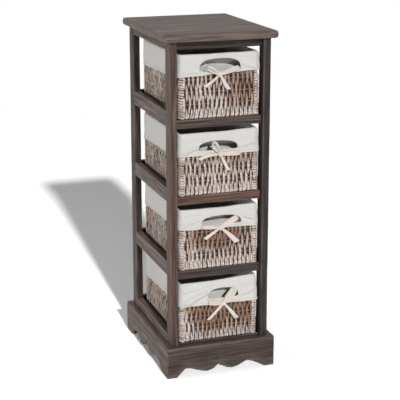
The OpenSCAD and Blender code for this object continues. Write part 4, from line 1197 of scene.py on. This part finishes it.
def makeLiner(k):
    # a grid round the basket: floor, wall, half ellipse over the rim, cuff down to the hem.
    # every row is the ring moved outwards by an offset; creases and folds add to the offset
    b, c, look, seed = basket, liner, cuffs[k], 500 + 20 * k
    s, total, p, n = ringColumns()
    front = n[:, 1] < -0.99
    turnX, turnY = ringPlace(s / total, 3)
    hem = hemLine(k, s / total, p, front)
    half = b["width"] / 2

    # lining, loose and a little wavy, with slack behind the hand-hole
    wall = np.concatenate([np.linspace(*rings) for rings in c["wallRows"]])[:, None] * mm
    loose = smooth(0.006, 0.04, wall) * (1 - smooth(0.105, 0.128, wall))
    wave = 1.1 * mm * (softNoise(turnX * 2.3, turnY * 2.3 + wall / 0.05, seed + 2) - 1) * loose
    slack = smooth(0.04, 0.094, wall) * (1 - smooth(0.116, 0.1285, wall)) * front
    slack = slack * smooth(0.0, 0.022, half - b["corner"] - np.abs(p[:, 0]))
    slack = slack * (1 + 0.16 * softNoise(p[:, 0] / 0.02 + 9, wall / 0.03, seed + 3))
    rows = [(wall, c["inner"] + wave - look["slack"] * mm * slack)]

    # over the rim, which the cloth lifts off towards the front right
    side = smooth(-0.2, 0.9, p[:, 0] / half) * smooth(0.0, 0.9, -p[:, 1] / (b["depth"] / 2))
    lift = look["lift"] * mm * side + 0.6 * mm * softNoise(turnX * 2, turnY * 2, seed + 1)
    a = np.radians(np.linspace(180, 0, 10))[:, None]
    mid = (c["inner"] + c["cuffNear"]) / 2
    rise = (c["crown"] - c["shoulder"] + lift) * np.sin(a)
    rows.append((c["shoulder"] + rise, mid + (c["cuffNear"] - mid) * np.cos(a)))

    # cuff
    v = np.linspace(0, 1, c["cuffRows"] + 1)[1:, None]
    rows.append((c["shoulder"] - v * (c["shoulder"] - hem), cuffOffset(v)))
    z, offset = (np.concatenate([np.broadcast_to(row[i], (len(row[i]), len(s))) for row in rows])
                 for i in (0, 1))
    first = len(z) - c["cuffRows"]
    hx, hz, hw, up, down = (v * mm for v in look["hole"])
    outline = holeOutline(np.linspace(0, 2 * math.pi, 361)[:-1], hw, 1.0)
    outline = outline * np.where(outline[:, 1:] > 0, [1, up], [1, down]) + [hx, hz]
    mayCut = front & (np.arange(len(z)) >= first)[:, None]
    keep, x, z = cutHole(np.broadcast_to(p[:, 0], z.shape), z, outline, mayCut)
    offset[first:] += cuffRelief(k, (s, turnX, turnY, p, n, front), hem, x[first:], z[first:], outline)

    low = liningFloor(p, n, seed + 8)
    grid = np.concatenate([low, raised(pack(x, p[:, 1]) + n * offset[..., None], z)]) + placeOf(k)
    keep = np.pad(keep, ((len(low), 0), (0, 0)), constant_values=True).ravel()
    hemFar = np.full(grid.shape[:2], c["noStitch"])
    hemFar[-c["cuffRows"]:] = z[first:] - hem
    u = np.append(s, total)
    v = np.concatenate([[0], np.cumsum(np.linalg.norm(np.diff(grid, axis=0), axis=-1).mean(1))])
    uv = quadUv(u[:-1], u[1:], v[:-1, None], v[1:, None])[keep][:, ::-1]
    faces = [gridFaces(len(grid), len(s))[keep][:, ::-1], np.arange(len(s))[None]]
    uv = np.concatenate([uv.reshape(-1, 2), grid[0, :, :2]])
    obj = makeObject(f"liner_cloth_{k + 1}", grid, faces, cotton, uv, {"hem": hemFar})
    solid = obj.modifiers.new("cloth thickness", "SOLIDIFY")
    solid.thickness = c["thick"]
    solid.offset = 0.0
    settle(obj, f"liner_{k + 1}", f"basket_unit_{k + 1}")
    roll = holeRoll(k, outline, hem[0])


def holeRoll(k, outline, hem):
    # rolled edge of the cuff's hole: the outline carried round with a gathered oval section
    closed = np.concatenate([outline, outline[:1]])
    walked = walk(closed)
    t = np.arange(260) / 260 * walked[-1]
    x, z = (np.interp(t, walked, v) for v in closed.T)
    reach = np.clip((liner["shoulder"] - z) / (liner["shoulder"] - hem), 0, 1)
    crease = liner["creased"] * creaseField(x / mm, z / mm, cuffs[k]["creases"]) * smooth(0, 0.35, reach)
    out = cuffOffset(reach) + 0.55 * mm + 0.35 * crease
    path = pack(x, -basket["depth"] / 2 - out, z) + placeOf(k)
    slope = unit(np.roll(path, -2, 0) - np.roll(path, 2, 0))
    outward = square(frontwards, slope)
    gather = 1 + 0.12 * softNoise(t / 0.0045, 0.5, 509 + 20 * k)
    wide, thick = (v * gather for v in liner["roll"])
    part = sweep(path, np.cross(outward, slope), outward, wide, thick, 10, closed=True)
    return joinParts("liner_hole_hem", [dress(part, hem=liner["noStitch"])], cotton, k, "liner")


for k in range(levels):
    makeLiner(k)
print("liners ready")

# ribbon bows
bow = {
    "plane": -142.6 * mm,    # where the tape lies, in front of the cuff
    "deepest": -141.3 * mm,  # it goes no further back than this
    "thick": 0.85 * mm,      # half of the tape's thickness, folded double and soft at its edges
    "knot": (5.3 * mm, 2.9 * mm, 6.0 * mm),      # half width, half depth, half height
    "wrap": 28.0 * mm,       # length of tape round the knot
    "open": 0.62,            # how far a loop opens, as a share of its fatness
    "sag": 1.5 * mm,         # of a loop's far end
    "slant": 0.55,           # of the tails' cut ends
    "flat": (0.010, 0.28), "area": 0.0019,
}
# knot x and z above the shelf; loops (length, angle, half width, fatness, tilt); tails as
# (length, angle, bend of the angle, half width at the knot, half width at the end)
bows = (
    {"knot": (0.5, 93.0), "loops": ((34, 148, 4.4, 9.6, 44), (43, 20, 3.7, 7.0, 42)),
     "tails": ((42, 217, -6, 2.5, 3.4), (38, 300, 5, 2.9, 4.1))},
    {"knot": (2.0, 88.5), "loops": ((34, 121, 4.4, 12.5, 44), (42, 2, 3.8, 6.6, 40)),
     "tails": ((49, 190, 12, 2.9, 3.3), (41, 296, 4, 2.4, 3.4))},
    {"knot": (2.0, 92.0), "loops": ((42, 172, 3.5, 4.8, 36), (43, 31, 4.5, 8.2, 40)),
     "tails": ((42, 213, -5, 2.6, 3.5), (53, 317, -4, 2.7, 5.6))},
    {"knot": (10.0, 84.0), "loops": ((35, 170, 3.8, 7.0, 44), (42, 53, 4.3, 14.5, 50)),
     "tails": ((50, 225, -6, 3.1, 3.0), (50, 309, -4, 2.4, 4.6))},
)


def tapePart(path, face, halfWide, start):
    # a flat band along one path: face is the way its broad side looks
    slope = unit(np.gradient(path, axis=0))
    outward = square(face, slope)
    across = np.cross(slope, outward)
    part = sweep(path, across, outward, halfWide, bow["thick"], 12, boxy=0.75, start=start)
    return dress(part, hem=liner["noStitch"])


def loopPart(k, j, knot):
    # a teardrop: rise = (1 - cos 2 pi t) / 2, along = length * rise, and to the side a share of
    # the fatness * sin 2 pi t * rise^0.55; tilted about its own line so that its inside shows
    length, angle, wide, fat, tilt = bows[k]["loops"][j]
    t = np.linspace(0.035, 0.965, 44)
    a, tilt = math.radians(angle), math.radians(tilt)
    along = np.array([math.cos(a), 0, math.sin(a)])
    up = np.array([-math.sin(a), 0, math.cos(a)]) * (1 if math.cos(a) > 0 else -1)
    away = up * math.sin(tilt) + frontwards * math.cos(tilt)
    rise = (1 - np.cos(2 * np.pi * t))[:, None] / 2
    aside = np.sin(2 * np.pi * t)[:, None] * rise ** 0.55
    path = knot + along * length * mm * rise + away * fat * mm * bow["open"] * aside
    path = path - upwards * bow["sag"] * rise ** 2
    path[:, 1] += 0.9 * mm * softNoise(t * 5, j + 2.0 * k, 600)
    slope = unit(np.gradient(path, axis=0))
    face = np.cross(np.cross(along, away), slope)
    half = wide * mm * (0.5 + 0.5 * smooth(0, 0.25, rise[:, 0]))
    half = half * (1 + 0.06 * softNoise(t * 9, k + 0.5 * j, 601))
    # the whole band keeps off the cuff behind it
    deep = path[:, 1] + np.abs(np.cross(face, slope)[:, 1]) * half + bow["thick"]
    path[:, 1] -= np.maximum(deep - bow["deepest"], 0)
    return tapePart(path, face, half, 0.1 * j)


def tailPart(k, j, knot):
    # a band whose angle turns evenly along it, with a small swing to the front and back
    length, angle, bend, narrow, wide = bows[k]["tails"][j]
    count = 30
    t = np.linspace(0, 1, count)
    a = np.radians(angle + bend * (t - 0.5) * 2)
    dx, dz = (np.cumsum(v) * length * mm / (count - 1) for v in (np.cos(a), np.sin(a)))
    y = bow["plane"] + 0.5 * mm * np.cos(t * 7 + k + 2 * j)
    path = pack(knot[0] + dx - dx[0], y, knot[2] + dz - dz[0])
    roll = math.radians(10) * np.sin(t * 4 + k + j)[:, None]
    side, direction = pack(-np.sin(a), 0, np.cos(a)), pack(np.cos(a), 0, np.sin(a))
    half = (narrow + (wide - narrow) * smooth(0.0, 0.9, t)) * mm
    part = tapePart(path, frontwards * np.cos(roll) + side * np.sin(roll), half, 0.3 + 0.1 * j)
    # the end is cut on a slant: points shift along the tape by how far across they lie
    across = np.sum((part["verts"][0] - path[:, None]) * side[:, None], -1, keepdims=True)
    shift = across * smooth(0.82, 1.0, t)[:, None, None] * bow["slant"] * (1 if j else -1)
    part["verts"] = part["verts"] + direction[:, None] * shift
    return part


def knotPart(k, knot):
    # a short band wrapped over: a section of |cos|^0.7 and |sin|^0.8, as full as
    # sqrt(1 - |w|^3.2) from side to side, less a few creases that follow |sin 5 w|
    around, rows = 28, 17
    rx, ry, rz = bow["knot"]
    u = np.linspace(0, 2 * math.pi, around + 1)
    w = np.linspace(-1, 1, rows)[:, None]
    full = np.sqrt(np.clip(1 - np.abs(w) ** 3.2, 0.02, 1)) * (1 - 0.07 * np.abs(np.sin(w * 5 + 0.4 * k)))
    y = -powered(np.cos(u[:-1]), 0.7) * ry * full
    z = powered(np.sin(u[:-1]), 0.8) * rz * full + 0.6 * mm * w
    verts = pack(w * rx, y, z) + [knot[0], bow["plane"] - 1.3 * mm, knot[2]]
    way = u / (2 * math.pi) * bow["wrap"]
    uv = quadUv(way[:-1], way[1:], w[:-1] * rx, w[1:] * rx)[:, ::-1, ::-1]
    ends = np.arange(around)
    caps = np.array([ends, (rows - 1) * around + ends[::-1]])
    part = {"verts": verts, "quads": gridFaces(rows, around)[:, ::-1], "uv": uv, "caps": caps}
    return dress(part, hem=liner["noStitch"])


for k in range(levels):
    kx, kz = bows[k]["knot"]
    knot = np.array([kx * mm, bow["plane"] - 1.2 * mm, shelfTop[k] + kz * mm])
    parts = [loopPart(k, 0, knot), loopPart(k, 1, knot), tailPart(k, 0, knot), tailPart(k, 1, knot),
             knotPart(k, knot)]
    obj = joinParts("bow_ribbon", parts, tape, k, "bow")
print("bows ready")
